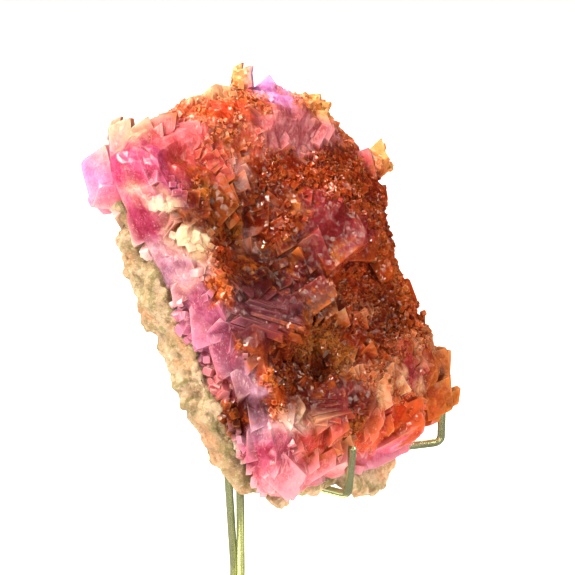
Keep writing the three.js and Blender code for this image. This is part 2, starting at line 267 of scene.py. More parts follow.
# Where each colour lies on the face: place (u, v) and how far it reaches along u and v.
FACE_ZONES = [
    ("hot_pink", -24, 27, 6, 6), ("flush", -12, 32, 6, 3), ("coral", -17, 27, 3, 3),
    ("orange", -14, 23.5, 3, 1.6), ("coral", -7.5, 24.5, 3, 4), ("ochre", -15, 19.8, 2.6, 1.2),
    # The maroon at (-16, 15) and (-3, 15) and the deep plum at (-8, 3) are dark partly as painted shade of
    # the hollow there, partly as the crystals' own colour.
    ("maroon", -16, 15, 6, 4), ("cream", -21.5, 12.5, 3, 2), ("rust", -14, 8, 5, 4),
    ("maroon", -3, 15, 6, 7), ("ochre", -8, 12, 1.2, 4), ("deep_plum", -8, 3, 6, 4),
    ("red_orange", -1, 34, 6, 3), ("salmon", -4, 36.5, 3, 1.5), ("peach", 5, 38.5, 5, 1.4),
    ("amber", 13, 41, 2.5, 3), ("orange", 11, 35, 3, 4), ("lavender", 19.5, 36, 5, 4),
    ("orange", 22, 33, 2, 3), ("amber", 28, 30, 4, 4), ("salmon", -1, 28, 6, 4), ("blush", 12, 27, 7, 4),
    ("blush", 22, 24, 7, 2.5), ("salmon", 33, 22, 4, 2), ("flush", 38, 19, 2.5, 3),
    ("amber", 43, 18, 3, 2.4), ("rust", 25, 17, 9, 3.5), ("rust", 5, 20, 6, 3), ("rust", 22, 10, 8, 5),
    ("plum", 32, 5, 2.6, 3), ("rust", 38.5, 9, 3, 4), ("rust", 31, 8, 3, 6), ("garnet", 11, 5, 6, 5),
    ("garnet", 17, 2, 6, 4), ("rust", -1, 10, 4, 4), ("plum", 2, 2, 4, 5), ("heather", -15, -5.5, 7, 5),
    ("grey_brown", 2, -7, 6, 2.5), ("rust", 11, -5, 5, 3), ("rust", 20, -5, 8, 4),
    # The brown at (-10, -12) and (-8, -19) is dark partly as painted shade of the hollow under the ledge,
    # partly as the crystals' own colour.
    ("brown", -10, -12, 9, 3), ("ochre", -4, -13, 4, 2), ("ochre", 3, -18, 2, 4), ("brown", -8, -19, 8, 3),
    ("rust", 9, -14, 4, 5), ("brown", 18, -14, 6, 6), ("orange", 27, -8, 3, 6), ("rust", 29, -16, 5, 5),
    ("plum", -7, -24, 7, 3.5), ("plum", 0, -27, 6, 4), ("salmon", 7, -23, 3, 3), ("rust", 12.5, -24, 4, 4),
    ("cherry", 20.5, -24.5, 4.5, 4.5), ("orange", 23, -22, 5, 4), ("apricot", 32, -26, 5, 6),
    ("honey", 31, -34, 5, 4), ("coral", -11, -30, 5, 4), ("white", -17, -25, 3, 2),
    ("salmon", -5, -32, 5, 3), ("bright_pink", -4, -39, 6, 2.5), ("ochre", 0.5, -31, 2, 2),
    ("sunset", 6, -33, 5, 3), ("red_orange", 17.5, -34.5, 5, 3), ("pale_pink", 16, -40.5, 7, 1.6),
    ("bright_pink", -15, -36, 6, 3), ("orange", -20.5, 2, 0.8, 2.5), ("orange", -20, -9, 0.7, 2.5),
    ("plum", -16.5, -9, 2.5, 3), ("orange", -18.4, -18, 1.2, 6), ("honey", 1, 3.4, 1.6, 1.6),
    ("honey", 5, -9, 1.2, 1.6), ("honey", 22, -5, 1.6, 1.6), ("honey", -14, 12, 1.6, 1.6),
    ("honey", 4, 12, 1.2, 2),
]
# Where each colour lies on the left side: place (v, n) and how far it reaches along v and n.
SIDE_ZONES = [
    ("violet", 31, -8, 5, 4), ("hot_pink", 29, -3, 3, 4), ("shell", 36, 2, 3, 7), ("shell", 37, -7, 2, 3),
    ("bright_pink", 24.5, -6, 2, 4), ("raspberry", 19, 0, 4, 4), ("lilac", 10, 0, 5, 4),
    ("white", 13, -3, 2, 2), ("frost", 4, 1, 1.5, 2), ("rose", -4, 1, 6, 4), ("mauve", -12, -1, 3, 3),
    ("deep_plum", -20, 1, 2.5, 3), ("lilac", -14, 4, 4, 2), ("lilac", -24, 3, 2, 3),
    ("raspberry", -29, 3, 3, 4), ("bright_pink", -34, 3, 4, 5), ("grey_brown", -17, -5, 3, 2),
    ("bone", -4, -8, 26, 2.5),
]
SIDE_REACH = 7  # how far in from the left side its colours last
FACE_REACH = 7  # how far below the face its colours last

# Swells and hollows of the crust's face: place (u, v), spread along u and v, height.
RELIEF = [
    (13, 8, 12, 9, 5.5), (-9, -7, 9, 4.5, 4), (-9, 9, 8, 8, -4.5), (-2, -17, 9, 7, -2),
    (-18, 4, 3.5, 12, 1.5), (14, 26, 12, 6, 1.5), (-14, 28, 8, 7, -2), (18, -20, 11, 11, 1.5),
    (-1.3, -38, 5, 7, -2.5), (-8, 13, 1, 4.5, 2.2), (-18.5, -12, 1.5, 8, 1),
]
# Pointed crystals that stand out: colour, foot (u, v, n) and size.
TEETH = [
    ("shell", 11, -13, 8, 4.2), ("shell", 6, -11.4, 8, 3.9), ("honey", 10.3, -19, 7.6, 3.7),
    ("peach", 9.7, -27.6, 6.4, 6), ("peach", 24.3, -22.2, 6.4, 3.4), ("peach", 23.6, -26, 6, 3.4),
    ("peach", 20.9, -30.6, 5, 4), ("shell", 29.5, -24.3, 5.4, 4.8), ("frost", -3, 19.6, 6.4, 5),
    ("coral", -5.7, -32, 4, 5), ("peach", -13.5, -25.4, 5, 3.6), ("frost", -16, -26.6, 4.6, 2.8),
    ("peach", -11, -28, 5, 3.4), ("coral", 1, -25, 5.4, 3), ("peach", 5, -22, 6.4, 3),
    ("honey", 7, 0, 10.6, 2.4), ("honey", 1, 3, 8.6, 2.9), ("peach", 13.4, -25, 7, 3.8),
    ("peach", 16, -28, 6.6, 4), ("peach", -1.2, -33.4, 3.6, 3), ("coral", -17, -30, 4.2, 3),
    ("salmon", -12, -33, 3.6, 4), ("salmon", 31, -21, 5.4, 3), ("orange", 33, -18, 4.6, 3),
    ("salmon", 27.5, -20, 6.4, 3), ("peach", 33.6, -25.5, 3.6, 3.4), ("coral", 26.4, -23.6, 6.2, 3),
    ("orange", 30, -27.6, 5, 3.6), ("coral", 19, -24.6, 7, 2.6), ("salmon", 17.6, -21, 7.4, 3),
    ("honey", -12, 12, 4, 3.4), ("honey", -15, 14, 5, 3.1), ("honey", -1, -15, 6, 3.4),
    ("honey", 4, -22, 6.4, 3.1), ("honey", -6, -9, 7.4, 3.1), ("frost", -6, 8, 4.4, 3.4),
    ("coral", 11, -33.6, 4.4, 3.6),
]
TOOTH_LEAN = (-0.15, 0.75, 0.75)  # the way the teeth point, in (u, v, n)
# Rounded lumps of small crystals down the upper left edge: colour, middle (u, v, n) and size.
BEADS = [
    ("cream", -24, 26.4, 0, 2.2), ("cream", -24.2, 24, 1.6, 2.4), ("cream", -24.6, 21, 4.8, 2.6),
    ("cream", -24.8, 19.2, 6.2, 2.6), ("cream", -23.2, 13.1, 5.9, 3.4), ("cream", -22.3, 12.4, 6.7, 4),
    ("cream", -21, 11.3, 7, 3.2), ("frost", -23, 11.4, 1, 2.6), ("frost", -22.6, 10, 2.4, 2.2),
    ("frost", -21.4, 7.2, 4.6, 2.4), ("frost", -23, 6, 1.6, 2.2),
]
# Levels along n: the rock's back and front, the crust's face, and how far that drops at its rim.
MATRIX_BACK = -12
MATRIX_FRONT = -3
CRUST_FACE = 7
RIM_DROP = 2
LEFT_SIDE = -23  # where the crust's left side stands, along u


def crust_height(u, v):
    """How high the crust's face lies at (u, v), under its crystals."""
    height = CRUST_FACE + np.zeros(np.shape(u))
    for centre_u, centre_v, spread_u, spread_v, rise in RELIEF:
        away = ((u - centre_u) / spread_u) ** 2 + ((v - centre_v) / spread_v) ** 2
        height = height + rise * np.exp(-away)
    height = height - 6.5 * (1 - smoothstep(-39, -26, v))
    height = height - 4 * smoothstep(29, 40, v) - 3 * smoothstep(27, 38, u)
    return np.maximum(height, MATRIX_FRONT + 1)


def zone_table():
    """One row for each zone: its middle (u, v, n), its reach along each and its colour."""
    rows = []
    for name, u, v, reach_u, reach_v in FACE_ZONES:
        rows.append([u, v, float(crust_height(u, v)), reach_u, reach_v, FACE_REACH, *TINTS[name]])
    for name, v, n, reach_v, reach_n in SIDE_ZONES:
        rows.append([LEFT_SIDE, v, n, SIDE_REACH, reach_v, reach_n, *TINTS[name]])
    for name, u, v, n, size in TEETH:
        middle = np.array([u, v, n]) + 0.35 * size * unit(TOOTH_LEAN)
        rows.append([*middle, 0.4 * size, 0.5 * size, 0.6 * size, *TINTS[name]])
    for name, u, v, n, size in BEADS:
        rows.append([u, v, n, 0.8 * size, 0.7 * size, 0.7 * size, *TINTS[name]])
    return np.array(rows)


ZONES = zone_table()

# How thickly small crystals and crumbs cover each colour.
DRUSE_COVER = {
    "rust": 1, "brown": 0.9, "ochre": 0.5, "orange": 0.9, "red_orange": 0.8, "maroon": 0.35, "plum": 0.4,
    "garnet": 0.3, "apricot": 0.2, "mauve": 0.25, "salmon": 0.6, "coral": 0.2, "grey_brown": 0.3,
    "amber": 0.5,
}
CRUMB_COVER = {"ochre": 1, "cream": 0.1, "rust": 0.25, "brown": 0.3, "orange": 0.2}
# How much iron stain lies in each colour's crystals.
STAIN = {
    "rust": 1, "brown": 1, "ochre": 1, "orange": 1, "honey": 1, "apricot": 0.8, "red_orange": 0.9,
    "maroon": 0.8, "amber": 0.8, "salmon": 0.6, "coral": 0.4, "cream": 0.2, "peach": 0.3, "heather": 0.12,
    "cherry": 0.3, "grey_brown": 0.6, "deep_plum": 0.5, "plum": 0.3, "garnet": 0.25, "mauve": 0.2,
}
# How the crystals of each colour grow: size against the usual, how unevenly they point, and
# how many of them lie flat on the crust.
HABIT = {
    "hot_pink": (1.1, 0.03, 0.95), "rose": (1.1, 0.04, 0.9), "bright_pink": (1.1, 0.05, 0.85),
    "violet": (1.2, 0.05, 0.9), "lilac": (1.2, 0.07, 0.8), "raspberry": (1.3, 0.04, 0.95),
    "mauve": (1.3, 0.04, 0.95), "garnet": (1.3, 0.05, 0.95), "plum": (1.3, 0.05, 0.95),
    "heather": (1.3, 0.05, 0.9), "deep_plum": (2.0, 0.06, 0.9), "grey_brown": (1.3, 0.08, 0.7),
    "coral": (1.2, 0.1, 0.6), "salmon": (1.1, 0.12, 0.5), "maroon": (1.6, 0.08, 0.8),
    "peach": (1.1, 0.1, 0.6), "white": (1.0, 0.15, 0.4),
}
USUAL_HABIT = (0.8, 0.15, 0.4)
ZONE_NAMES = [row[0] for row in FACE_ZONES + SIDE_ZONES + TEETH + BEADS]
ZONE_HABIT = np.array([HABIT.get(name, USUAL_HABIT) for name in ZONE_NAMES])
ZONE_DRUSE = np.array([DRUSE_COVER.get(name, 0.05) for name in ZONE_NAMES])
ZONE_CRUMBS = np.array([CRUMB_COVER.get(name, 0.0) for name in ZONE_NAMES])
ZONE_STAIN = np.array([STAIN.get(name, 0.05) for name in ZONE_NAMES])
ZONE_SHARPNESS = 1.6  # how abruptly one zone's colour gives way to the next


def zone_weights(places):
    """How much each zone's colour counts at (u, v, n) places: the nearest one's most."""
    places = np.asarray(places, float)
    gap = (places[:, None, :] - ZONES[None, :, 0:3]) / ZONES[None, :, 3:6]
    closeness = -ZONE_SHARPNESS * (gap ** 2).sum(axis=2)
    weight = np.exp(closeness - closeness.max(axis=1, keepdims=True))
    return weight / weight.sum(axis=1, keepdims=True)


def wander(places, size, reach):
    """Moves places about by smooth noise, so that borders between colours are ragged."""
    return np.asarray(places) + np.array([noise.noise_vector(Vector(p) / size) for p in places]) * reach


# ---------------------------------------------------------------- meshes
def store(mesh, name, values, domain):
    """Keeps one number or colour for each face or point of a mesh."""
    values = np.asarray(values, float)
    if values.ndim == 2:
        layer = mesh.attributes.new(name, "FLOAT_COLOR", domain)
        layer.data.foreach_set("color", np.hstack([values, np.ones((len(values), 1))]).ravel())
    else:
        layer = mesh.attributes.new(name, "FLOAT", domain)
        layer.data.foreach_set("value", values)


def mesh_object(name, points, faces, shade=None, smooth=False):
    """An object from points in metres; `shade` is how pale each face is, from 0 to 1."""
    mesh = bpy.data.meshes.new(name)
    mesh.from_pydata(np.asarray(points).tolist(), [], faces)
    if shade is not None:
        store(mesh, "shade", shade, "FACE")
    mesh.polygons.foreach_set("use_smooth", [smooth] * len(mesh.polygons))
    return bpy.data.objects.new(name, mesh)


def evaluated_mesh(obj):
    """The object's mesh with its modifiers applied."""
    graph = bpy.context.evaluated_depsgraph_get()
    return bpy.data.meshes.new_from_object(obj.evaluated_get(graph), depsgraph=graph)


def combined(body, tools, operation):
    """Joins the tools to the body, or cuts them from it, as solids."""
    collection = bpy.data.collections.new("tools")
    scene.collection.children.link(collection)
    for tool in tools:
        collection.objects.link(tool)
    modifier = body.modifiers.new("combine", "BOOLEAN")
    modifier.operation = operation
    modifier.operand_type = "COLLECTION"
    modifier.collection = collection
    modifier.solver = "MANIFOLD"
    mesh = evaluated_mesh(body)
    body.modifiers.remove(modifier)
    for tool in tools:
        shape = tool.data
        bpy.data.objects.remove(tool)
        bpy.data.meshes.remove(shape)
    bpy.data.collections.remove(collection)
    body.data = mesh
    return body


def closed_outline(corners, count):
    """Evenly spaced points on a smooth closed curve through the corners."""
    corners = np.array(corners, float)
    dense = []
    total = len(corners)
    for i in range(total):
        p0, p1, p2, p3 = (corners[(i + k - 1) % total] for k in range(4))
        for t in np.linspace(0, 1, 24, endpoint=False):
            dense.append(0.5 * (2 * p1 + (p2 - p0) * t + (2 * p0 - 5 * p1 + 4 * p2 - p3) * t ** 2
                                + (3 * p1 - p0 - 3 * p2 + p3) * t ** 3))
    dense = np.array(dense + dense[:1])
    length = np.concatenate([[0], np.cumsum(np.linalg.norm(np.diff(dense, axis=0), axis=1))])
    wanted = np.linspace(0, length[-1], count, endpoint=False)
    return np.stack([np.interp(wanted, length, dense[:, k]) for k in (0, 1)], axis=1)


def lofted_faces(rings, count):
    """Faces of a closed body: rings of equal length, then the first and the last pole."""
    faces = []
    first = rings * count
    top = (rings - 1) * count
    for i in range(count):
        after = (i + 1) % count
        faces.append((first, after, i))
        faces.append((first + 1, top + i, top + after))
        for ring in range(rings - 1):
            low = ring * count
            faces.append((low + i, low + after, low + count + after, low + count + i))
    return faces


# ---------------------------------------------------------------- crystal shapes
def hull(points):
    """The closed convex body round some points: (points, faces)."""
    work = bmesh.new()
    for point in points:
        work.verts.new(point)
    found = bmesh.ops.convex_hull(work, input=work.verts)
    loose = {item for item in found["geom_interior"] + found["geom_unused"]
             if isinstance(item, bmesh.types.BMVert)}
    bmesh.ops.delete(work, geom=list(loose), context="VERTS")
    bmesh.ops.dissolve_limit(work, angle_limit=0.02, verts=work.verts, edges=work.edges)
    bmesh.ops.recalc_face_normals(work, faces=work.faces)
    work.verts.index_update()
    shape = np.array([vert.co[:] for vert in work.verts]), [
        tuple(vert.index for vert in face.verts) for face in work.faces]
    work.free()
    return shape


def trimmed(points, edges, draw, depth):
    """Cuts every corner off a little, by a depth drawn for each, as growth faces do."""
    kept = []
    for i, point in enumerate(points):
        cut = draw.uniform(*depth)
        kept += [point + (points[j] - point) * cut * draw.uniform(0.6, 1.4)
                 for j in range(len(points)) if (min(i, j), max(i, j)) in edges]
    return hull(kept)


def rhomb_shape(draw, height):
    """A cleavage rhomb of about unit edge whose blunt corner points along +Z."""
    corners = np.array([[x, y, z] for x in (-1, 1) for y in (-1, 1) for z in (-1, 1)], float) / 2
    stretch = np.array([draw.uniform(0.75, 1.2), draw.uniform(0.75, 1.2), draw.uniform(0.8, 1.1)])
    edges = {(i, j) for i in range(8) for j in range(i + 1, 8)
             if np.count_nonzero(corners[i] != corners[j]) == 1}
    turn = Vector((1, 1, 1)).rotation_difference(Vector((0, 0, 1))).to_matrix()
    corners = (corners * stretch) @ np.array(turn).T * (1.12, 1.12, height)
    return trimmed(corners, edges, draw, (0.03, 0.22))


def tooth_shape(draw, sides, tip):
    """A pointed crystal of about unit width with a tapered root and a small worn tip."""
    points = []
    for i in range(sides):
        angle = 2 * math.pi * (i + draw.uniform(-0.1, 0.1)) / sides
        reach = 0.5 * draw.uniform(0.85, 1.15)
        points.append((reach * math.cos(angle), reach * math.sin(angle), 0.12 * (-1) ** i))
    top = np.array([draw.uniform(-0.1, 0.1), draw.uniform(-0.1, 0.1), tip * draw.uniform(0.85, 1.2)])
    for i in range(3):
        angle = 2 * math.pi * i / 3
        points.append(tuple(top + (0.03 * math.cos(angle), 0.03 * math.sin(angle), 0)))
    points.append((0, 0, -0.9))
    return hull([np.array(point, float) for point in points])


def face_shape(width, height, depth, slant, draw):
    """A rhombic block whose large face is at z = 0 and looks along +Z."""
    points = []
    for z, spread in ((0, 1.0), (-depth, 1.25)):
        for x, y in ((-1, -1), (1, -1), (1, 1), (-1, 1)):
            points.append(((x * width / 2 + y * slant) * spread, y * height / 2 * spread, z))
    edges = {(0, 1), (1, 2), (2, 3), (0, 3), (4, 5), (5, 6), (6, 7), (4, 7),
             (0, 4), (1, 5), (2, 6), (3, 7)}
    return trimmed([np.array(point, float) for point in points], edges, draw, (0.04, 0.2))


def lump_shape(draw):
    """A rounded lump of about unit width."""
    points = []
    for _ in range(26):
        way = unit([draw.gauss(0, 1) for _ in range(3)])
        points.append(way * (0.5, 0.42, 0.36) * draw.uniform(0.92, 1.05))
    return hull(points)


SHAPES = random.Random(11)
for _ in range(10):
    rhomb_shape(SHAPES, 0.8)  # passed over: the shapes below depend on these draws
RHOMBS = [rhomb_shape(SHAPES, SHAPES.uniform(0.75, 0.95)) for _ in range(16)]
BLUNT_TEETH = [tooth_shape(SHAPES, 3, 0.62) for _ in range(10)]
DOG_TEETH = [tooth_shape(SHAPES, 6, 1.0) for _ in range(10)]
LUMPS = [lump_shape(SHAPES) for _ in range(8)]


def crystal(shape, axis, turn, size, centre):
    """One crystal as an object of its own, with its +Z along `axis`, in (u, v, n)."""
    points, faces = shape
    spin = Matrix.Rotation(turn, 3, "Z")
    tilt = Vector((0, 0, 1)).rotation_difference(Vector(unit(axis))).to_matrix()
    places = (points * size) @ np.array(tilt @ spin).T + np.asarray(centre, float)
    return mesh_object("crystal", on_slab(places), faces, [random.random() for _ in faces])


def face_axes(facing, roll):
    """The sideways, upward and outward directions of a face that looks along `facing`."""
    out = unit(facing)
    across = unit(np.cross((0, 1, 0), out))
    up = np.cross(out, across)
    angle = math.radians(roll)
    sideways = across * math.cos(angle) + up * math.sin(angle)
    return sideways, np.cross(out, sideways), out


def facing_block(place, facing, roll, width, height, depth, slant=0.8):
    """A block placed by the middle of its large face and the way that face looks, in (u, v, n)."""
    points, faces = face_shape(width, height, depth, slant, random)
    places = points @ np.array(face_axes(facing, roll)) + place
    return mesh_object("crystal", on_slab(places), faces, [random.random() for _ in faces])


# ---------------------------------------------------------------- the crust
CRUST_OUTLINE = [
    (-24, 32), (-25, 25), (-24, 14), (-23, 4), (-21.5, -8), (-21.5, -20), (-22, -30), (-20, -36),
    (-12, -37.5), (-3, -38.5), (6, -40), (15, -40), (24, -39), (29.5, -36), (32.6, -30), (33.4, -23),
    (32, -15), (33, -6), (38, 3), (41.4, 11), (39.6, 18), (34, 25.5), (29.5, 32), (24, 35.8), (18, 37.6),
    (9, 38.8), (0, 38), (-8, 35.8), (-16, 34.2),
]
# The outline as a fine closed line, with its order by angle and the way round that it runs.
RIM = closed_outline(CRUST_OUTLINE, 360)
RIM_ANGLE = np.arctan2(RIM[:, 1], RIM[:, 0])
RIM_ORDER = np.argsort(RIM_ANGLE)
RIM_NEXT = np.roll(RIM, -1, axis=0)
RIM_TURN = 1 if np.sum(RIM[:, 0] * RIM_NEXT[:, 1] - RIM[:, 1] * RIM_NEXT[:, 0]) > 0 else -1

# The large faces: middle (u, v, n), the way the face looks (u, v, n), roll, width, height, depth.
FACES = [
    (-20.3, 28.6, -3.2, -0.8, 0.15, 0.55, 14, 12.5, 10, 10),  # the hot pink face at the upper left
    (-23.4, 31, -7.6, -0.85, 0.3, 0.4, 10, 6, 8, 7),
    (-23, 25, -5, -0.75, -0.4, 0.5, -25, 9, 4.5, 6),
    (-15.5, 28.4, 0.6, -0.6, 0.25, 0.75, 10, 9, 8, 6),  # the feathered faces beside it
    (-11, 31, 2.6, -0.6, 0.3, 0.75, -15, 8, 7, 5),
    (-23.3, 18.5, 0, -0.9, -0.1, 0.4, 0, 9, 6, 6),
    (-19.8, 35.4, -2, -0.7, 0.1, 0.7, 0, 4.4, 5, 4.6),  # the pale blocks above it
    (-17.1, 34, 1, -0.6, 0.2, 0.75, 15, 4.4, 4.8, 4),
    (-12.5, 34.6, 2, -0.5, 0.3, 0.8, -10, 5, 4, 4),
    (13.7, 39.4, 2, -0.7, 0.1, 0.7, 5, 3.8, 4, 4),  # the top edge
    (20.5, 35.2, 1, -0.6, 0.3, 0.7, 20, 5.5, 7, 5),
    (29, 31, 1.5, -0.6, 0.2, 0.8, -15, 6, 5.4, 5),
    (37, 15.5, 3, -0.5, 0.2, 0.8, 0, 5, 7, 5),  # the knob on the right edge
    (42.3, 17, 3.6, -0.5, 0.5, 0.7, 20, 4, 4.4, 4),
    (-21.7, 11, -2, -0.9, 0, 0.45, 10, 4.6, 4, 3),
    (-21.8, 8.6, 0.5, -0.85, 0.2, 0.5, 0, 5, 5, 4),
    (-23, 4.7, 1, -0.8, -0.2, 0.6, 10, 5.6, 3.6, 4),
    (-22.4, -2.4, 2, -0.85, 0.1, 0.5, -5, 6, 8, 6),
    (-21.6, -9.2, 3, -0.8, -0.1, 0.6, 5, 6, 7, 5),
    (-21.3, -14.6, 4, -0.7, 0.2, 0.7, 10, 4.4, 5, 4),
    (-20.8, -20.6, 4.2, -0.7, 0.1, 0.7, 0, 4.4, 6, 4),
    (-21, -26, 2.4, -0.7, -0.1, 0.7, -10, 6.5, 6.5, 5),
    (-20, -33.8, 2.8, -0.6, -0.4, 0.7, 35, 6, 6.5, 6),  # the glowing block at the lower left
    (-9, -35, 1.5, -0.4, -0.6, 0.7, 10, 7, 4.5, 5),
    (-4.5, -37.6, -3.4, -0.4, -0.8, 0.2, 0, 11, 5, 4),
    (-15.2, -4.8, 9.2, -0.15, 0.45, 0.88, -48, 13.5, 5.5, 8),  # the ledge
    (-18, -7.6, 6.8, -0.5, -0.3, 0.8, -5, 8, 4.5, 5),
    (-0.5, -5.5, 10, -0.3, 0.25, 0.92, 10, 7, 5.4, 6),
    (9.5, 5.5, 11.2, -0.3, 0.15, 0.92, 15, 12, 13, 9),  # the boss
    (3, 0.5, 8.6, -0.6, -0.2, 0.75, 10, 8, 9, 6),
    (19, 26, 6.6, -0.35, 0.45, 0.82, 0, 13, 6, 6),  # the striated shoulder
    (8, 26.4, 6.4, -0.4, 0.4, 0.82, 10, 9, 7, 5),
    (-1, 28, 5, -0.5, 0.35, 0.8, 0, 7, 6, 5),
    (-12.5, 30.6, 2.6, -0.5, 0.4, 0.75, 5, 10, 6, 5),
    (32.2, -29, 4.6, -0.4, 0, 0.9, -8, 4, 8, 5),  # the smooth plates, lower right
    (27.6, -34, 4.8, -0.35, -0.2, 0.9, 0, 6.5, 6.5, 5),
    (17, -35.2, 3.8, -0.4, -0.35, 0.8, 0, 7.5, 7.5, 5),
    (14, -38.4, 1, -0.3, -0.8, 0.5, 8, 12, 4, 5),
    (5.5, -32.2, 5.4, -0.4, -0.2, 0.9, 30, 4.4, 3.4, 3),
    (-8.5, -25, 7.4, -0.4, 0.2, 0.9, 10, 9, 7, 5),
    (22, -5, 9, -0.5, 0.3, 0.8, 20, 4, 5, 5),
    (31, -12, 5, -0.3, 0.3, 0.9, 0, 4, 6, 5),
    (32, 7, 5, -0.5, 0.2, 0.8, 10, 4, 4.5, 5),
]
FACE_PLANES = [(np.array([u, v, n]), unit(facing), width, height)
               for u, v, n, *facing, _, width, height, _ in FACES]
# Growth steps on some faces: middle (u, v, n), facing (u, v, n), roll, length, spread, count.
STEPS = [
    (-15.3, -5.1, 9.6, -0.15, 0.45, 0.88, -52, 13, 6.5, 12),  # along the ledge
    (-8.5, -25, 7.7, -0.4, 0.25, 0.9, -20, 8, 6.5, 9),
    (19, 26.2, 7, -0.35, 0.45, 0.82, 35, 6, 11, 10),  # across the shoulder
    (8, 26.6, 6.8, -0.4, 0.4, 0.82, 20, 5.5, 8, 8),
    (12.5, 7, 11.5, -0.3, 0.2, 0.92, 55, 6, 7, 9),  # the top of the boss
    (-15.5, 28.6, 0.9, -0.6, 0.25, 0.75, 65, 7, 8, 9),  # the feathered faces
    (-11, 31.2, 2.9, -0.6, 0.3, 0.75, 45, 6, 7, 8),
]


def growth_steps():
    """Thin blocks side by side, whose edges make fine parallel lines."""
    grown = []
    for u, v, n, *facing, roll, length, spread, count in STEPS:
        along, sideways, out = face_axes(facing, roll)
        pitch = spread / count
        for i in range(count):
            place = np.array([u, v, n]) + sideways * (i + 0.5 - count / 2) * pitch
            place = place + along * random.gauss(0, 1.1) + out * random.uniform(-0.35, 0.1)
            tilt = out + sideways * random.gauss(0, 0.3)
            width = length * random.uniform(0.35, 1.0)
            turn = roll + random.gauss(0, 5)
            grown.append(facing_block(place, tilt, turn, width, 1.5 * pitch, 1.6, 0.1))
    return grown


def crust_core():
    """The crust's body without its crystals, roughened by noise."""
    count = 190  # points round its outline
    outline = closed_outline(CRUST_OUTLINE, count)
    under = MATRIX_FRONT - 0.6
    rings = []
    side = [(0.5, under), (0.97, under), (1, under + 1.2), (1.01, -1.2), (1.01, 0), (1.01, 1.2), (1, 2.5)]
    for scale, height in side:
        rim = np.minimum(height, crust_height(outline[:, 0], outline[:, 1]) - RIM_DROP)
        rings.append(np.column_stack([outline * scale, rim]))
    for scale in [0.98, 0.95, 0.92, 0.89, 0.86, *np.linspace(0.83, 0.06, 28)]:
        place = outline * scale
        height = crust_height(place[:, 0], place[:, 1]) - RIM_DROP * float(smoothstep(0.88, 0.97, scale))
        rings.append(np.column_stack([place, height]))
    points = np.concatenate(rings + [[[0, 0, under]], [[0, 0, float(crust_height(0, 0))]]])
    lift = np.array([
        1.1 * noise.noise(Vector(p) / 5.0) + 0.7 * noise.noise(Vector(p) / 2.2) for p in points])
    out = np.column_stack([points[:, 0] * 0.03, points[:, 1] * 0.02, np.full(len(points), 0.9)])
    points = points + out * (lift * (points[:, 2] > under + 0.1))[:, None]
    faces = lofted_faces(len(rings), count)
    return mesh_object("calcite_body", on_slab(points), faces, np.full(len(faces), 0.5))


def large_crystals():
    """The large blocks, each with smaller ones grown parallel to it, and the standing teeth."""
    grown = []
    for u, v, n, *facing, roll, width, height, depth in FACES:
        place = np.array([u, v, n], float)
        grown.append(facing_block(place, facing, roll, width, height, depth))
        at_edge = n < -3 or u < -20 or v < -34
        for _ in range(0 if at_edge else 4):
            side = np.array([*scatter(1, 2), 0])
            side = unit(side - unit(facing) * (side @ unit(facing)))
            step = place + side * random.uniform(0.35, 0.6) * (width + height) / 2
            step = step - unit(facing) * random.uniform(-0.1, 1.4)
            ratio = random.uniform(0.25, 0.6)
            grown.append(facing_block(step, facing, roll, width * ratio, height * ratio, depth * ratio))
    for _, u, v, n, size in TEETH:
        axis = np.array(TOOTH_LEAN) + (*scatter(0.15, 2), 0)
        grown.append(crystal(random.choice(BLUNT_TEETH), axis, random.gauss(2.6, 0.2), size, (u, v, n)))
    return grown


def crust_slope(u, v):
    """The way the crust's face looks at a place, in (u, v, n)."""
    step = 0.5
    along_u = crust_height(u + step, v) - crust_height(u - step, v)
    along_v = crust_height(u, v + step) - crust_height(u, v - step)
    return unit((-float(along_u), -float(along_v), 2 * step))


def beside_wire(place, size):
    """Whether a crystal of this size would touch or hide a wire."""
    middle = on_slab(place) / MM
    return wire_gap(np.array([middle]))[0] < 0.6 * size + WIRE_MARGIN


FACE_DEPTH = 1.2  # a crystal less deep than this under a large face would break through it


def on_large_face(place, size):
    """Whether a crystal of this size would stand on one of the large faces."""
    for middle, out, width, height in FACE_PLANES:
        away = place - middle
        lift = float(away @ out)
        reach = 0.28 * (width + height) + 0.35 * size
        if lift > -FACE_DEPTH and np.linalg.norm(away - lift * out) < reach:
            return True
    return False


def on_face_tops(places):
    """1 at the points of the large faces themselves, and 0 elsewhere."""
    found = np.zeros(len(places))
    for middle, out, width, height in FACE_PLANES:
        away = places - middle
        lift = away @ out
        spread = np.linalg.norm(away - lift[:, None] * out, axis=1)
        inside = smoothstep(0.62, 0.5, spread / max(width, height))
        found = np.maximum(found, (np.abs(lift) < 0.5) * inside)
    return found


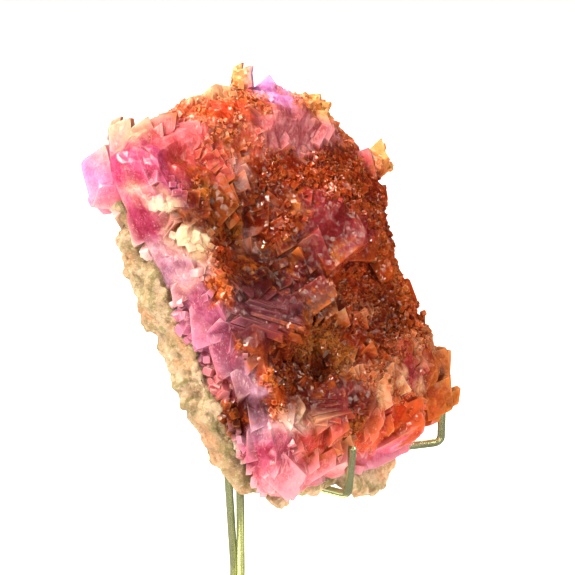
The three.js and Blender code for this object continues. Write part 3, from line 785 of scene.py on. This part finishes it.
def field_crystals(count, low, high, sink):
    """Crystals all over the face, each zone's roughly alike in size and in the way they point."""
    grown = []
    while len(grown) < count:
        u, v = random.uniform(-24, 38), random.uniform(-39, 38)
        reach = outline_reach(u, v)
        if reach > 1.0:
            continue
        height = float(crust_height(u, v)) - RIM_DROP * float(smoothstep(0.85, 1, reach))
        scale, uneven, flat = zone_weights([[u, v, height]])[0] @ ZONE_HABIT
        swirl = noise.noise_vector(Vector((u, v, 0)) / 14)
        jitter = (*scatter(uneven, 2), 0)
        size = random.uniform(low, high) * scale * (1 - 0.5 * float(smoothstep(0.78, 1, reach)))
        if on_large_face(np.array([u, v, height]), size) or beside_wire((u, v, height), size):
            continue
        if random.random() < flat:
            facing = crust_slope(u, v) + (-0.12 + 0.35 * swirl.x, 0.12 + 0.35 * swirl.y, 0) + jitter
            roll = 25 + 60 * swirl.z + random.gauss(0, 60 * uneven)
            place = np.array([u, v, height + random.uniform(-0.15, 0.12) * size])
            width = size * random.uniform(1.0, 1.6)
            grown.append(facing_block(place, facing, roll, width, size, 0.8 * size, 0.2 * size))
            continue
        axis = crust_slope(u, v) + (-0.2 + 0.45 * swirl.x, 0.2 + 0.45 * swirl.y, 0) + jitter
        pick = random.random() * (0.6 + 2 * uneven)
        shapes = RHOMBS if pick < 0.6 else (BLUNT_TEETH if pick < 0.85 else DOG_TEETH)
        turn = 0.5 + 1.2 * swirl.z + random.gauss(0, uneven)
        centre = np.array([u, v, height - sink * size])
        grown.append(crystal(random.choice(shapes), axis, turn, size, centre))
    return grown


LEFT_PART = -10  # the outline's left side lies to the left of this u


def side_crystals(count):
    """Flat blocks down the left side and smaller crystals round the other edges."""
    grown = []
    for _ in range(count):
        i = random.randrange(len(RIM))
        here, after = RIM[i], RIM_NEXT[i]
        along = unit(after - here)
        outward = np.array([along[1], -along[0]]) * RIM_TURN
        top = float(crust_height(*here)) - RIM_DROP
        left = here[0] < LEFT_PART
        size = random.uniform(0.8, 2.0) if left else random.uniform(1.2, 2.4)
        n = random.uniform(MATRIX_FRONT - 1.5, top)
        if beside_wire((*here, n), size):
            continue
        if left and random.random() < 0.8:
            swirl = noise.noise_vector(Vector((*here, n)) / 7)
            facing = (*(outward + (0.25 * swirl.x, 0.4 * swirl.y)), 0.05 + 0.3 * swirl.z)
            place = np.array([*(here + outward * random.uniform(-0.2, 0.06) * size), n])
            if on_large_face(place, size):
                continue
            width = size * random.uniform(0.8, 1.5)
            grown.append(facing_block(place, facing, 60 * swirl.x, width, size, size, 0.2 * size))
            continue
        axis = (*(outward + scatter(0.25, 2)), random.gauss(0.25, 0.25))
        centre = np.array([*(here - outward * 0.3 * size), n])
        if on_large_face(centre, size):
            continue
        shapes = RHOMBS if left or random.random() < 0.5 else BLUNT_TEETH
        grown.append(crystal(random.choice(shapes), axis, random.gauss(0.4, 0.3), size, centre))
    return grown


def outline_reach(u, v):
    """How far out a place lies: 0 at the middle and 1 at the crust's outline."""
    reach = np.hypot(*RIM.T)[RIM_ORDER]
    edge = np.interp(math.atan2(v, u), RIM_ANGLE[RIM_ORDER], reach, period=2 * math.pi)
    return math.hypot(u, v) / edge


def mesh_points(obj):
    """The object's points, one row each, in metres."""
    points = np.empty(3 * len(obj.data.vertices))
    obj.data.vertices.foreach_get("co", points)
    return points.reshape(-1, 3)


SHEEN_FACING = unit((-0.62, 0.5, 0.55))  # the way the faces look that get the most painted sheen


def paint_sheen_on_faces(body):
    """Marks the faces that look up and to the left, towards the lights, with a painted sheen that makes
    them paler than the rest.
    """
    count = len(body.data.polygons)
    normals = np.empty(3 * count)
    body.data.polygons.foreach_get("normal", normals)
    lit = (normals.reshape(-1, 3) @ AXES.T) @ SHEEN_FACING
    draw = np.random.default_rng(5)
    # the "frost" attribute holds this painted sheen
    store(body.data, "frost", smoothstep(0.86, 0.98, lit) * draw.uniform(0.2, 1, count), "FACE")


def patches(places, size, salt):
    """0 to 1 in soft-edged patches about `size` millimetres across."""
    shift = Vector((salt, 0, 0))
    return smoothstep(-0.12, 0.22, np.array([noise.noise(Vector(p) / size + shift) for p in places]))


def bead_crystals():
    """The lumps down the upper left edge, each of a few small crystals grown together."""
    grown = []
    for _, u, v, n, size in BEADS:
        for _ in range(4):
            place = (u, v, n) + scatter(0.17) * size
            axis = (-0.7, 0.1, 0.7) + scatter(0.5)
            part = size * random.uniform(0.75, 1.15)
            grown.append(crystal(random.choice(LUMPS), axis, random.uniform(0, 2), part, place))
    return grown


def fringe_crystals(count):
    """Small crystals where the lower left of the crust meets the rock."""
    grown = []
    for _ in range(count):
        v = random.uniform(-27, 3)
        edge = float(np.interp(v, (-27, -20, -8, 3), (-21.6, -21.6, -21.6, -23)))
        place = (edge - random.uniform(0, 1.3), v, random.uniform(-3.2, -0.6))
        axis = (-0.7, random.gauss(0, 0.5), random.gauss(0.5, 0.4))
        size = random.uniform(0.8, 1.9)
        grown.append(crystal(random.choice(RHOMBS), axis, random.uniform(0, 2), size, place))
    return grown


SIDE_COUNT = 520
FRINGE_COUNT = 110
# The crystals all over the face: how many, smallest, largest, and how deep they are sunk.
FIELDS = [(110, 3, 5, 0.5), (450, 1.6, 2.8, 0.42), (1000, 0.8, 1.5, 0.34)]


def make_crust():
    """The whole crust: its body and crystals joined, cut clear of the wires and coloured."""
    random.seed(7)
    noise.seed_set(3)
    body = crust_core()
    scene.collection.objects.link(body)
    tools = large_crystals() + growth_steps() + side_crystals(SIDE_COUNT)
    for count, low, high, sink in FIELDS:
        tools += field_crystals(count, low, high, sink)
    tools += bead_crystals() + fringe_crystals(FRINGE_COUNT)
    core = BVHTree.FromObject(body, bpy.context.evaluated_depsgraph_get())
    body = combined(body, tools, "UNION")
    body = combined(body, wire_clearance(), "DIFFERENCE")
    points = mesh_points(body)
    places = from_slab(points)
    rise = np.array([core.find_nearest(Vector(p))[3] for p in points]) / MM
    weight = zone_weights(wander(places, 2.5, 2.2))
    away = smoothstep(1.6, 2.4, wire_gap(points / MM))
    bare = 1.0 - on_face_tops(places)
    druse = smoothstep(0.3, 0.6, weight @ ZONE_DRUSE) * away * patches(places, 4.5, 0.0) * bare
    crumbs = smoothstep(0.15, 0.5, weight @ ZONE_CRUMBS) * away * patches(places, 3, 9.0)
    store(body.data, "tint", weight @ ZONES[:, 6:9], "POINT")
    # how far each point rises above the core; the finish lightens raised tips with it as painted glow
    store(body.data, "tip", smoothstep(0.1, 2.2, rise), "POINT")
    store(body.data, "stain", weight @ ZONE_STAIN, "POINT")
    store(body.data, "druse", druse, "POINT")
    store(body.data, "crumbs", crumbs, "POINT")
    paint_sheen_on_faces(body)
    return body


# ---------------------------------------------------------------- the wire stand
WIRE_RADIUS = 0.82
BEND_RADIUS = 1.6
CLEARANCE = 0.3  # between the wires and the stone, and round the wires' feet
WIRE_MARGIN = 1.2  # how far a crystal's side stays from a wire's middle line
FOOT_HEIGHT = 2.3
ARM_HEIGHT = 46
PRONG_TOP = 56.6
FRONT_ROUTE = [(-3.8, 7, FOOT_HEIGHT), (-3.8, 7, ARM_HEIGHT), (-1.3, -17.6, ARM_HEIGHT),
               (-1.3, -18.6, PRONG_TOP)]
ARM_ROUTE = [(-1.9, 5.5, ARM_HEIGHT), (31.1, -17.6, ARM_HEIGHT), (31.1, -17.6, PRONG_TOP)]
BACK_ROUTE = [(-3.8, 8.8, FOOT_HEIGHT), (-3.8, 8.8, 24), (-3.8, 12, 73), (-3.8, 25.2, 96)]
ROUTES = (FRONT_ROUTE, ARM_ROUTE, BACK_ROUTE)


def rounded_route(corners):
    """Points along a route with its inner corners rounded."""
    corners = [np.array(corner, float) for corner in corners]
    route = [corners[0]]
    for before, corner, after in zip(corners, corners[1:], corners[2:]):
        back, ahead = before - corner, after - corner
        opening = math.acos(float(unit(back) @ unit(ahead))) / 2
        limit = 0.45 * min(np.linalg.norm(back), np.linalg.norm(ahead))
        reach = min(BEND_RADIUS / math.tan(opening), limit)
        start, end = corner + unit(back) * reach, corner + unit(ahead) * reach
        for t in np.linspace(0, 1, 13):
            route.append((1 - t) ** 2 * start + 2 * t * (1 - t) * corner + t * t * end)
    route.append(corners[-1])
    return np.array(route)


def wire_gap(points):
    """How far places in millimetres are from the nearest wire's middle line."""
    nearest = np.full(len(points), 1e9)
    for corners in ROUTES:
        for start, end in zip(map(np.array, corners), map(np.array, corners[1:])):
            along = end - start
            t = np.clip((points - start) @ along / (along @ along), 0, 1)
            nearest = np.minimum(nearest, np.linalg.norm(points - start - t[:, None] * along, axis=1))
    return nearest


# ---------------------------------------------------------------- growth over a surface
def node_group(name, numbers, whole=()):
    """A geometry tree with named inputs, and a function from an input's name to its value."""
    tree = bpy.data.node_groups.new(name, "GeometryNodeTree")
    kinds = [("Geometry", "NodeSocketGeometry")] + [(label, "NodeSocketFloat") for label in numbers]
    kinds += [(label, "NodeSocketInt") for label in whole] + [("Finish", "NodeSocketMaterial")]
    for label, kind in kinds:
        tree.interface.new_socket(label, in_out="INPUT", socket_type=kind)
    tree.interface.new_socket("Geometry", in_out="OUTPUT", socket_type="NodeSocketGeometry")
    given = tree.nodes.new("NodeGroupInput")
    return tree, lambda label: Signal(tree, given.outputs[label])


def closed_tree(tree, geometry, finish):
    """Ends a tree: its geometry realised, flat-shaded and with its material."""
    real = add_node(tree, "GeometryNodeRealizeInstances", {"Geometry": geometry})
    flat = add_node(tree, "GeometryNodeSetShadeSmooth", {"Geometry": real, "Shade Smooth": False})
    made = add_node(tree, "GeometryNodeSetMaterial", {"Geometry": flat, "Material": finish})
    add_node(tree, "NodeGroupOutput", {"Geometry": made})
    return tree


MOST_CRYSTALS = 4e6  # the most points to a square metre, before Spacing thins them
FULL_TURN = 6.283


def grow_tree(name, cover):
    """Small blocky crystals over a surface, as thick as its `cover` attribute says."""
    tree, value = node_group(name, ("Spacing", "Width", "Length", "Lean", "Tumble"), ("Seed",))

    def draw(low, high, salt):
        return add_node(tree, "FunctionNodeRandomValue", {
            2: low, 3: high, 8: value("Seed") + float(salt)}, 1, data_type="FLOAT")

    thickness = add_node(tree, "GeometryNodeInputNamedAttribute", {"Name": cover}, data_type="FLOAT")
    scattered = add_node(tree, "GeometryNodeDistributePointsOnFaces", {
        "Mesh": value("Geometry"), "Distance Min": value("Spacing"), "Density Max": MOST_CRYSTALS,
        "Density Factor": thickness, "Seed": value("Seed")}, distribute_method="POISSON")
    normal = Signal(tree, scattered.socket.node.outputs["Normal"])
    shaded = add_node(tree, "GeometryNodeStoreNamedAttribute", {
        "Geometry": scattered, "Name": "shade", "Value": draw(0.0, 1.0, 5)},
        data_type="FLOAT", domain="POINT")
    lean = add_node(tree, "FunctionNodeRandomValue", {
        0: (-1.0, -1.0, -1.0), 1: (1.0, 1.0, 1.0), 8: value("Seed") + 1.0}, data_type="FLOAT_VECTOR")
    upright = add_node(tree, "FunctionNodeAlignRotationToVector", {
        "Vector": normal.vector("ADD", lean.vector("SCALE", scale=value("Lean")))}, axis="Z")
    spin = add_node(tree, "ShaderNodeCombineXYZ", {
        "X": draw(-1.0, 1.0, 6) * value("Tumble"), "Y": draw(-1.0, 1.0, 7) * value("Tumble"),
        "Z": draw(0.0, FULL_TURN, 2)})
    spun = add_node(tree, "FunctionNodeRotateRotation", {
        "Rotation": upright, "Rotate By": spin}, rotation_space="LOCAL")
    size = add_node(tree, "ShaderNodeCombineXYZ", {
        "X": value("Width"), "Y": value("Width"), "Z": value("Length")})
    block = add_node(tree, "GeometryNodeMeshCube", {"Size": size})
    large = draw(0.0, 1.0, 3)
    placed = add_node(tree, "GeometryNodeInstanceOnPoints", {
        "Points": shaded, "Instance": block, "Rotation": spun,
        "Scale": large * large * large * 1.6 + 0.6})
    return closed_tree(tree, placed, value("Finish"))


def grown(name, host, tree, **settings):
    """The tree's geometry on the host, as a plain mesh of its own."""
    modifier = host.modifiers.new(name, "NODES")
    modifier.node_group = tree
    sockets = {item.name: item.identifier for item in tree.interface.items_tree if item.in_out == "INPUT"}
    for key, value in settings.items():
        modifier[sockets[key.replace("_", " ")]] = value
    mesh = evaluated_mesh(host)
    host.modifiers.remove(modifier)
    mesh.name = name
    obj = bpy.data.objects.new(name, mesh)
    scene.collection.objects.link(obj)
    return obj


# ---------------------------------------------------------------- the matrix
MATRIX_OUTLINE = [
    (-20, 30), (-22.5, 20), (-24.2, 11), (-25, 4), (-24, -2), (-24.5, -14), (-23.5, -22), (-22, -29),
    (-18.7, -35), (-10, -36.5), (0, -39), (6, -42), (12, -42), (17, -38.5), (23, -35.5), (28, -33),
    (30, -22), (29, -8), (32, 4), (34, 14), (31, 25), (23, 33), (8, 35), (-8, 34),
]
UNDERSIDE = -36.9  # the level underside, from the slab's centre


def level_underside(u, v, n):
    """The underside is level where the arms carry it and hangs a little lower between them."""
    rise = 0.14 * np.maximum(0, -1 - u)
    hang = 6.0 * np.exp(-((u - 9) / 6.5) ** 2) * smoothstep(-9, -3.5, n)
    lowest = (UNDERSIDE + rise - hang - n * math.sin(LEAN)) / math.cos(LEAN)
    middle = (MATRIX_BACK + MATRIX_FRONT) / 2
    shift = (middle - n) * math.tan(LEAN) * (1 - smoothstep(-36, -20, v))
    return np.maximum(v + shift, lowest)


def matrix_core():
    """The rock's body, before its surface is broken up."""
    count = 300
    outline = closed_outline(MATRIX_OUTLINE, count)
    angle = 2 * math.pi * np.arange(count) / count
    back, front = MATRIX_BACK, MATRIX_FRONT
    profile = [(scale, back) for scale in np.linspace(0.06, 0.7, 16)]
    profile += [(0.76, back + 0.1), (0.82, back + 0.25), (0.87, back + 0.4), (0.91, back + 0.7),
                (0.95, back + 1.2), (0.985, back + 2), (1.005, back + 2.8), (1.02, back + 3.6),
                (1.025, back + 4.4), (1.02, front - 3.2), (1.015, front - 2.4), (1.01, front - 1.6),
                (1, front - 0.9), (0.98, front - 0.3), (0.95, front), (0.7, front), (0.35, front)]
    rings = []
    for scale, height in profile:
        lumps = 0.02 * np.sin(9 * angle + height) + 0.018 * np.sin(17 * angle - 0.8 * height)
        reach = scale * (1 + lumps)
        u, v = outline[:, 0] * reach, outline[:, 1] * reach
        ripple = 0.5 * np.sin(0.33 * u + 0.21 * outline[:, 1]) * (1 - scale * scale)
        rings.append(np.column_stack([u, level_underside(u, v, height), height + ripple]))
    points = np.concatenate(rings + [[[0, 0, back]], [[0, 0, front]]])
    return mesh_object("matrix_core", on_slab(points), lofted_faces(len(rings), count))


def broken_rock_tree():
    """Breaks a smooth surface up into rounded lumps with a sandy grain."""
    tree, value = node_group("broken_rock", ("Lump Size", "Lump Height", "Grain Size", "Grain Height"))
    place = add_node(tree, "GeometryNodeInputPosition")
    fine = add_node(tree, "GeometryNodeSubdivideMesh", {"Mesh": value("Geometry"), "Level": 1})
    lumps = add_node(tree, "ShaderNodeTexVoronoi", {
        "Vector": place, "Scale": 1.0 / value("Lump Size"), "Smoothness": 0.5}, feature="SMOOTH_F1")
    grains = add_node(tree, "ShaderNodeTexVoronoi", {
        "Vector": place, "Scale": 1.0 / value("Grain Size")})
    cloud = add_node(tree, "ShaderNodeTexNoise", {"Vector": place, "Scale": 160.0, "Detail": 4.0})
    lift = (0.5 - lumps) * value("Lump Height") + (0.5 - grains) * value("Grain Height")
    lift = lift + (cloud - 0.5) * value("Lump Height")
    normal = add_node(tree, "GeometryNodeInputNormal")
    moved = add_node(tree, "GeometryNodeSetPosition", {
        "Geometry": fine, "Offset": normal.vector("SCALE", scale=lift)})
    return closed_tree(tree, moved, value("Finish"))


# ---------------------------------------------------------------- rods and disc
def rod(name, route, radius, sides=20, domed=False):
    """A round rod along a route in millimetres; its far end may be domed."""
    forward = [unit(b - a) for a, b in zip(route, route[1:])]
    forward = [forward[0]] + [unit(a + b) for a, b in zip(forward, forward[1:])] + [forward[-1]]
    across = unit(np.cross(forward[0], (0.3, 1, 0.2)))
    angles = 2 * math.pi * np.arange(sides) / sides
    rings = []

    def ring(centre, ahead, size):
        side = np.cross(ahead, across)
        return centre + size * (np.cos(angles)[:, None] * across + np.sin(angles)[:, None] * side)

    for centre, ahead in zip(route, forward):
        across = unit(across - ahead * (across @ ahead))
        rings.append(ring(centre, ahead, radius))
    tip, ahead = route[-1], forward[-1]
    edge = 0.18 * radius
    if domed:
        rings[-1] = ring(tip - ahead * radius, ahead, radius)
        rings += [ring(tip - ahead * radius * (1 - math.sin(t)), ahead, radius * math.cos(t))
                  for t in np.linspace(0, math.pi / 2, 7)[1:-1]]
    else:
        rings[-1] = ring(tip - ahead * edge, ahead, radius)
        rings.append(ring(tip, ahead, radius - edge))
    points = np.concatenate(rings + [[route[0]], [tip]])
    faces = lofted_faces(len(rings), sides)
    return mesh_object(name, points * MM, faces, smooth=True)


def wire_clearance():
    """Solids a little thicker than the wires, to cut the stone clear of them."""
    radius = WIRE_RADIUS + CLEARANCE
    return [rod("clearance", rounded_route(corners), radius, sides=12) for corners in ROUTES]


def turned(name, centre, profile, count):
    """A turned body on an upright axis, from pairs of radius and height in millimetres."""
    angle = 2 * math.pi * np.arange(count) / count
    circle = np.column_stack([np.cos(angle), np.sin(angle)])
    rings = [np.column_stack([centre + radius * circle, np.full(count, height)])
             for radius, height in profile]
    points = np.concatenate(rings + [[[*centre, profile[0][1]]], [[*centre, profile[-1][1]]]])
    return mesh_object(name, points * MM, lofted_faces(len(rings), count), smooth=True)


def base_disc(name):
    """The round base: a turned disc with soft edges and two blind sockets for the wires' feet."""
    low, high = (np.array(corner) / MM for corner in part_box("base"))
    radius = (high[0] - low[0]) / 2
    thick = high[2] - low[2]
    profile = [(0.5 * radius, 0), (radius - 1.2, 0), (radius - 0.4, 0.12), (radius - 0.1, 0.45),
               (radius, 1), (radius, thick - 1), (radius - 0.1, thick - 0.55), (radius - 0.4, thick - 0.2),
               (radius - 1.0, thick), (radius - 1.6, thick), (0.5 * radius, thick)]
    disc = turned(name, (0, 0), profile, 128)
    scene.collection.objects.link(disc)
    bore = WIRE_RADIUS + CLEARANCE
    sockets = [turned("socket", foot[:2], [(bore, foot[2] - CLEARANCE), (bore, thick + 1)], 24)
               for foot in (FRONT_ROUTE[0], BACK_ROUTE[0])]
    return combined(disc, sockets, "DIFFERENCE")


# ---------------------------------------------------------------- finishes
def calcite_finish(name, depth, crevice_shade_strength, rim, facet, rounding):
    """Stained calcite that light enters by about `depth` millimetres.

    It has painted shade in its crevices, as strong as the shade strength given, a painted glow
    along thin edges `rim` millimetres wide, painted highlight lines along its edges, painted
    glints, and a painted sheen on faces that look up and to the left. It is broken into glinting
    growth steps about `facet` millimetres across, and its edges look rounded by `rounding`
    millimetres.
    """
    finish = Finish(name)
    mix, noise_of = finish.mix, finish.noise
    tint = finish.attribute("tint", "Color")
    stain = finish.attribute("stain")
    light = finish.node("ShaderNodeRGBToBW", {"Color": tint}).step(0.05, 0.3)
    # painted glow: near 1 where the crystal is thin, at edges and corners, as if light shone through
    edge = finish.hidden(rim, 0.95, 0.45, inside=True, only_local=True)
    # painted shade: crevices within 3 millimetres, found by ambient occlusion
    painted_crevice_shade = finish.hidden(3.0, 0.9, 0.35)
    veins = noise_of(1.4, 5, 0.7, distortion=1.2)
    cloud = noise_of(3.2, 4, 0.6)
    speck = noise_of(0.5, 4, 0.75)

    # The colours the crystals take: deep inside, a painted glow at thin edges (also the golden stain's
    # colour), and pale for growth lines, painted glints and the painted sheen on faces that look up and to
    # the left.
    deep = mix(0.2, mix(0.8, tint, tint, "MULTIPLY"), (0.16, 0.008, 0.004))
    fire = mix(0.2 + 0.3 * light, tint, (1.0, 0.3, 0.03))
    pearl = mix(0.05 + 0.28 * light, tint, (1.0, 0.5, 0.5))
    painted_glow_and_stain = mix(stain.step(0.1, 0.5), pearl, fire)
    pale = mix(0.03 + 0.43 * light, tint.vector("SCALE", scale=1.6),
               mix(light, (1.0, 0.35, 0.15), (1.0, 0.7, 0.56)))

    # Clear and cloudy growth, with raised tips and thin edges lightened as painted glow, then golden
    # stain, fine growth lines, painted glints and rust.
    inner = cloud * 0.5 + veins * 0.5 + speck * 0.25 * stain + finish.attribute("tip") * 0.15
    inner = inner + edge * 0.2 + finish.attribute("shade") * (0.3 if rim > 1 else 0.6)
    base = mix((inner - 0.12 * stain).step(0.53, 0.86), deep, tint)
    golden = (veins * 0.6 + speck * 0.45).step(0.56, 0.68) * stain
    base = mix(golden * 0.7, base, painted_glow_and_stain)
    scratches = noise_of(0.3, 3, 0.6, finish.stretched((0.5, 0.8, 0), 0.1))
    feathers = scratches.step(0.54, 0.68) * noise_of(4, 3).step(0.42, 0.6) * (1 - 0.7 * stain)
    base = mix(feathers * 0.5, base, pale)
    # painted glints: small pale specks, fewer in stained crystals
    painted_glints = speck.step(0.6, 0.68) * noise_of(2, 3).step(0.45, 0.6) * (1 - 0.9 * stain)
    base = mix(painted_glints * 0.6, base, mix(0.02 + 0.38 * light, pale, (1.0, 0.9, 0.85)))
    rusty = (noise_of(2.4, 5, 0.7) + 0.25 * stain).step(0.63, 0.72)
    rusty = rusty * stain.step(0.08, 0.25) * stain.step(0.95, 0.6)
    base = mix(rusty * 0.7, base, mix(inner.step(0.5, 1.0), (0.2, 0.02, 0.003), (0.6, 0.13, 0.012)))

    # Painted glow along thin edges, painted highlight lines on the edges, painted sheen on faces that look
    # up and to the left, and painted shade in crevices.
    base = mix(edge * (0.25 + 0.4 * cloud), base, painted_glow_and_stain)
    rounded = finish.node("ShaderNodeBevel", {"Radius": rounding * MM}, samples=4)
    flat = finish.node("ShaderNodeNewGeometry", output="True Normal")
    # painted highlight: thin bright lines along the rounded edges of thin parts
    painted_edge_highlight = rounded.vector("DOT_PRODUCT", flat, output="Value").step(0.985, 0.9) * edge
    base = mix(painted_edge_highlight * 0.6, base, mix(
        0.12 + 0.48 * light, painted_glow_and_stain, mix(light, (1.0, 0.35, 0.1), (1.0, 0.72, 0.5))))
    # painted sheen: the "frost" attribute marks faces that look up and to the left, mixed toward pale
    frost = finish.attribute("frost") * (0.4 + 0.6 * speck)
    base = mix(frost * 0.15, base, pale)
    # painted shade: crevices darkened toward a deep red-brown, less on pale tints
    base = mix(painted_crevice_shade * crevice_shade_strength * (1 - 0.6 * light), base, mix(0.5, deep, (0.1, 0.01, 0.002)))

    facets = finish.cells(facet, "Color").vector("SUBTRACT", (0.5, 0.5, 0.5))
    facets = rounded.vector("ADD", facets.vector("SCALE", scale=0.1 + 0.6 * stain)).vector("NORMALIZE")
    return finish.surface(
        Base_Color=base, Roughness=0.02 + 0.05 * speck + 0.2 * light, IOR=1.6,
        Normal=finish.bump(scratches, 0.06, below=facets), Subsurface_Weight=0.7,
        Subsurface_Radius=(1.0, 0.45, 0.4), Subsurface_Scale=depth * MM,
        Specular_IOR_Level=0.5, Specular_Tint=(1.0, 0.85, 0.75, 1.0))


def rock_finish():
    """Granular rock: buff and sandy patches, olive and ochre ones, with painted shade in its hollows."""
    finish = Finish("matrix_rock")
    mix, noise_of = finish.mix, finish.noise
    fine = noise_of(0.6, 5, 0.75)
    base = mix(noise_of(5, 4).step(0.38, 0.62), paint("bc9c70"), paint("dcbc98"))
    base = mix(noise_of(2.8, 4, 0.7).step(0.48, 0.62) * 0.8, base, paint("948850"))
    base = mix(noise_of(6, 3).step(0.5, 0.66) * 0.6, base, paint("e09c70"))
    # painted shade: hollows found by ambient occlusion darkened toward dark olive-brown
    base = mix(finish.hidden(3.0, 0.9, 0.4) * 0.7, base, paint("74603c"))
    base = mix(fine.step(0.52, 0.68) * 0.6, base, paint("7c5830"))
    base = mix(fine.step(0.46, 0.32) * 0.6, base, paint("f4e4c4"))
    normal = finish.bump(fine, 0.6, below=finish.bump(finish.cells(0.9), -0.3))
    return finish.surface(
        Base_Color=base, Roughness=0.75 + 0.2 * fine, Normal=normal, Subsurface_Weight=0.3,
        Subsurface_Radius=(1.0, 0.7, 0.5), Subsurface_Scale=1 * MM, IOR=1.5)


def brass_finish():
    """Pale greenish brass, drawn and a little worn."""
    finish = Finish("stand_brass")
    wear = finish.noise(4, 3)
    base = finish.mix(wear.step(0.35, 0.7) * 0.3, paint("c8cc9c"), paint("98985c"))
    return finish.surface(
        Base_Color=base, Metallic=0.75, Roughness=0.2 + 0.1 * wear,
        Normal=finish.bump(finish.noise(0.3, 3, 0.6), 0.01))


def floor_finish():
    """A plain white floor that glows a little, so that it stays white."""
    finish = Finish("floor")
    base = finish.mix(finish.noise(300, 2).step(0.3, 0.7) * 0.1, (0.93, 0.93, 0.92), (0.9, 0.9, 0.9))
    return finish.surface(
        Base_Color=base, Roughness=0.9, Emission_Color=(1, 1, 0.995, 1), Emission_Strength=0.7)


# ---------------------------------------------------------------- the scene
STAND = bpy.data.collections.new("stand")  # what the stand's own soft lights shine on
ROCK = bpy.data.collections.new("rock")  # what the light low in front shines on
# What the lights aim at, and the places of the lights that there are several of, in metres.
HIGH, MIDDLE, LOW, FOOT = (0, 0, 0.09), (0, 0, 0.08), (0, 0, 0.07), (0, 0, 0.05)
SPARKLES = [(-0.9, 0.3, 0.55), (-0.2, -0.6, 0.8), (0.35, -0.1, 0.9), (-0.7, -0.7, 0.45)]
GLEAMS = [(-0.6, -0.2, 0.7), (-0.1, -0.8, 0.6), (0.3, -0.4, 0.8), (-0.9, 0.1, 0.4), (-0.4, 0.5, 0.7),
          (-0.8, -0.7, 0.3), (0.5, 0.4, 0.7)]
STAND_LIGHTS = [((-1.2, 0.2, 0.5), 16), ((0.5, -1.2, 0.5), 16), ((0, 0, 1.6), 12), ((1.0, 1.0, 0.6), 12)]


def set_light():
    """Soft light on everything, small glinting lights, and light on the stand and rock alone."""
    world = bpy.data.worlds.new("world")
    world.use_nodes = True
    background = world.node_tree.nodes["Background"]
    background.inputs["Color"].default_value = (1, 1, 1, 1)
    background.inputs["Strength"].default_value = 0.03
    scene.world = world
    scene.view_settings.view_transform = "Standard"
    area_light("overhead", (-0.25, 0.3, 0.75), HIGH, (0.4, 0.4), 10.5)
    area_light("left_fill", (-0.8, 0.1, 0.35), MIDDLE, (0.3, 0.3), 2.2)
    area_light("glint", (-0.55, -0.1, 0.8), HIGH, (0.1, 0.1), 4)
    for place in SPARKLES:
        area_light("sparkle", place, HIGH, (0.05, 0.05), 0.25)
    for place in GLEAMS:
        area_light("gleam", place, HIGH, (0.12, 0.12), 0.6, glints_only=True)
    area_light("rock_fill", (0.35, -0.8, 0.05), LOW, (0.4, 0.08), 7, only=ROCK)
    area_light("front", (0.5, -0.8, 0.7), HIGH, (0.3, 0.3), 2.2)
    area_light("low_fill", (-0.45, -0.55, 0.02), LOW, (0.3, 0.3), 0.7)
    for place, power in STAND_LIGHTS:
        area_light("stand_light", place, FOOT, (1.4, 1.4), power, COOL, STAND)


def set_floor():
    floor = mesh_object("floor", [(-8, -8, 0), (8, -8, 0), (8, 8, 0), (-8, 8, 0)], [(0, 1, 2, 3)])
    floor.data.materials.append(floor_finish())
    floor.visible_glossy = False
    scene.collection.objects.link(floor)


def settle(piece, material, replaced):
    """Gives a piece its material, hides the part that it replaces and hangs it from the root."""
    piece.data.materials.clear()
    piece.data.materials.append(material)
    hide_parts(replaced)
    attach(piece, "root")


set_camera()
set_light()
set_floor()

calcite = calcite_finish("stained_calcite", depth=1.0, crevice_shade_strength=0.9, rim=1.5, facet=0.8, rounding=0.2)
small_calcite = calcite_finish("small_calcite", depth=0.6, crevice_shade_strength=0.55, rim=0.3, facet=0.5, rounding=0.12)
brass = brass_finish()
rock = rock_finish()

crust = make_crust()
DRUSE = [
    ("rust_druse", "druse", dict(
        Spacing=0.52 * MM, Width=0.58 * MM, Length=0.55 * MM, Lean=0.5, Tumble=0.8, Seed=4)),
    ("ochre_crumbs", "crumbs", dict(
        Spacing=0.4 * MM, Width=0.4 * MM, Length=0.36 * MM, Lean=0.9, Tumble=1.0, Seed=9)),
]
for name, cover, sizes in DRUSE:
    druse = grown(name, crust, grow_tree(name, cover), Finish=small_calcite, **sizes)
    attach(druse, "root")
crust.name = "calcite_body"
settle(crust, calcite, "calcite_crust")

core = matrix_core()
scene.collection.objects.link(core)
stone = grown(
    "matrix_rock", core, broken_rock_tree(), Lump_Size=4.2 * MM, Lump_Height=2.8 * MM,
    Grain_Size=1.3 * MM, Grain_Height=0.9 * MM, Finish=rock)
bpy.data.objects.remove(core)
stone = combined(stone, wire_clearance(), "DIFFERENCE")
ROCK.objects.link(stone)
settle(stone, rock, "matrix")

RODS = [
    ("front_rod", "front_wire", FRONT_ROUTE, True),
    ("right_arm_rod", "right_arm", ARM_ROUTE, True),
    ("back_rod", "back_wire", BACK_ROUTE, False),
]
for name, replaced, corners, domed in RODS:
    piece = rod(name, rounded_route(corners), WIRE_RADIUS, domed=domed)
    scene.collection.objects.link(piece)
    STAND.objects.link(piece)
    settle(piece, brass, replaced)

disc = base_disc("round_base")
STAND.objects.link(disc)
settle(disc, brass, "base")
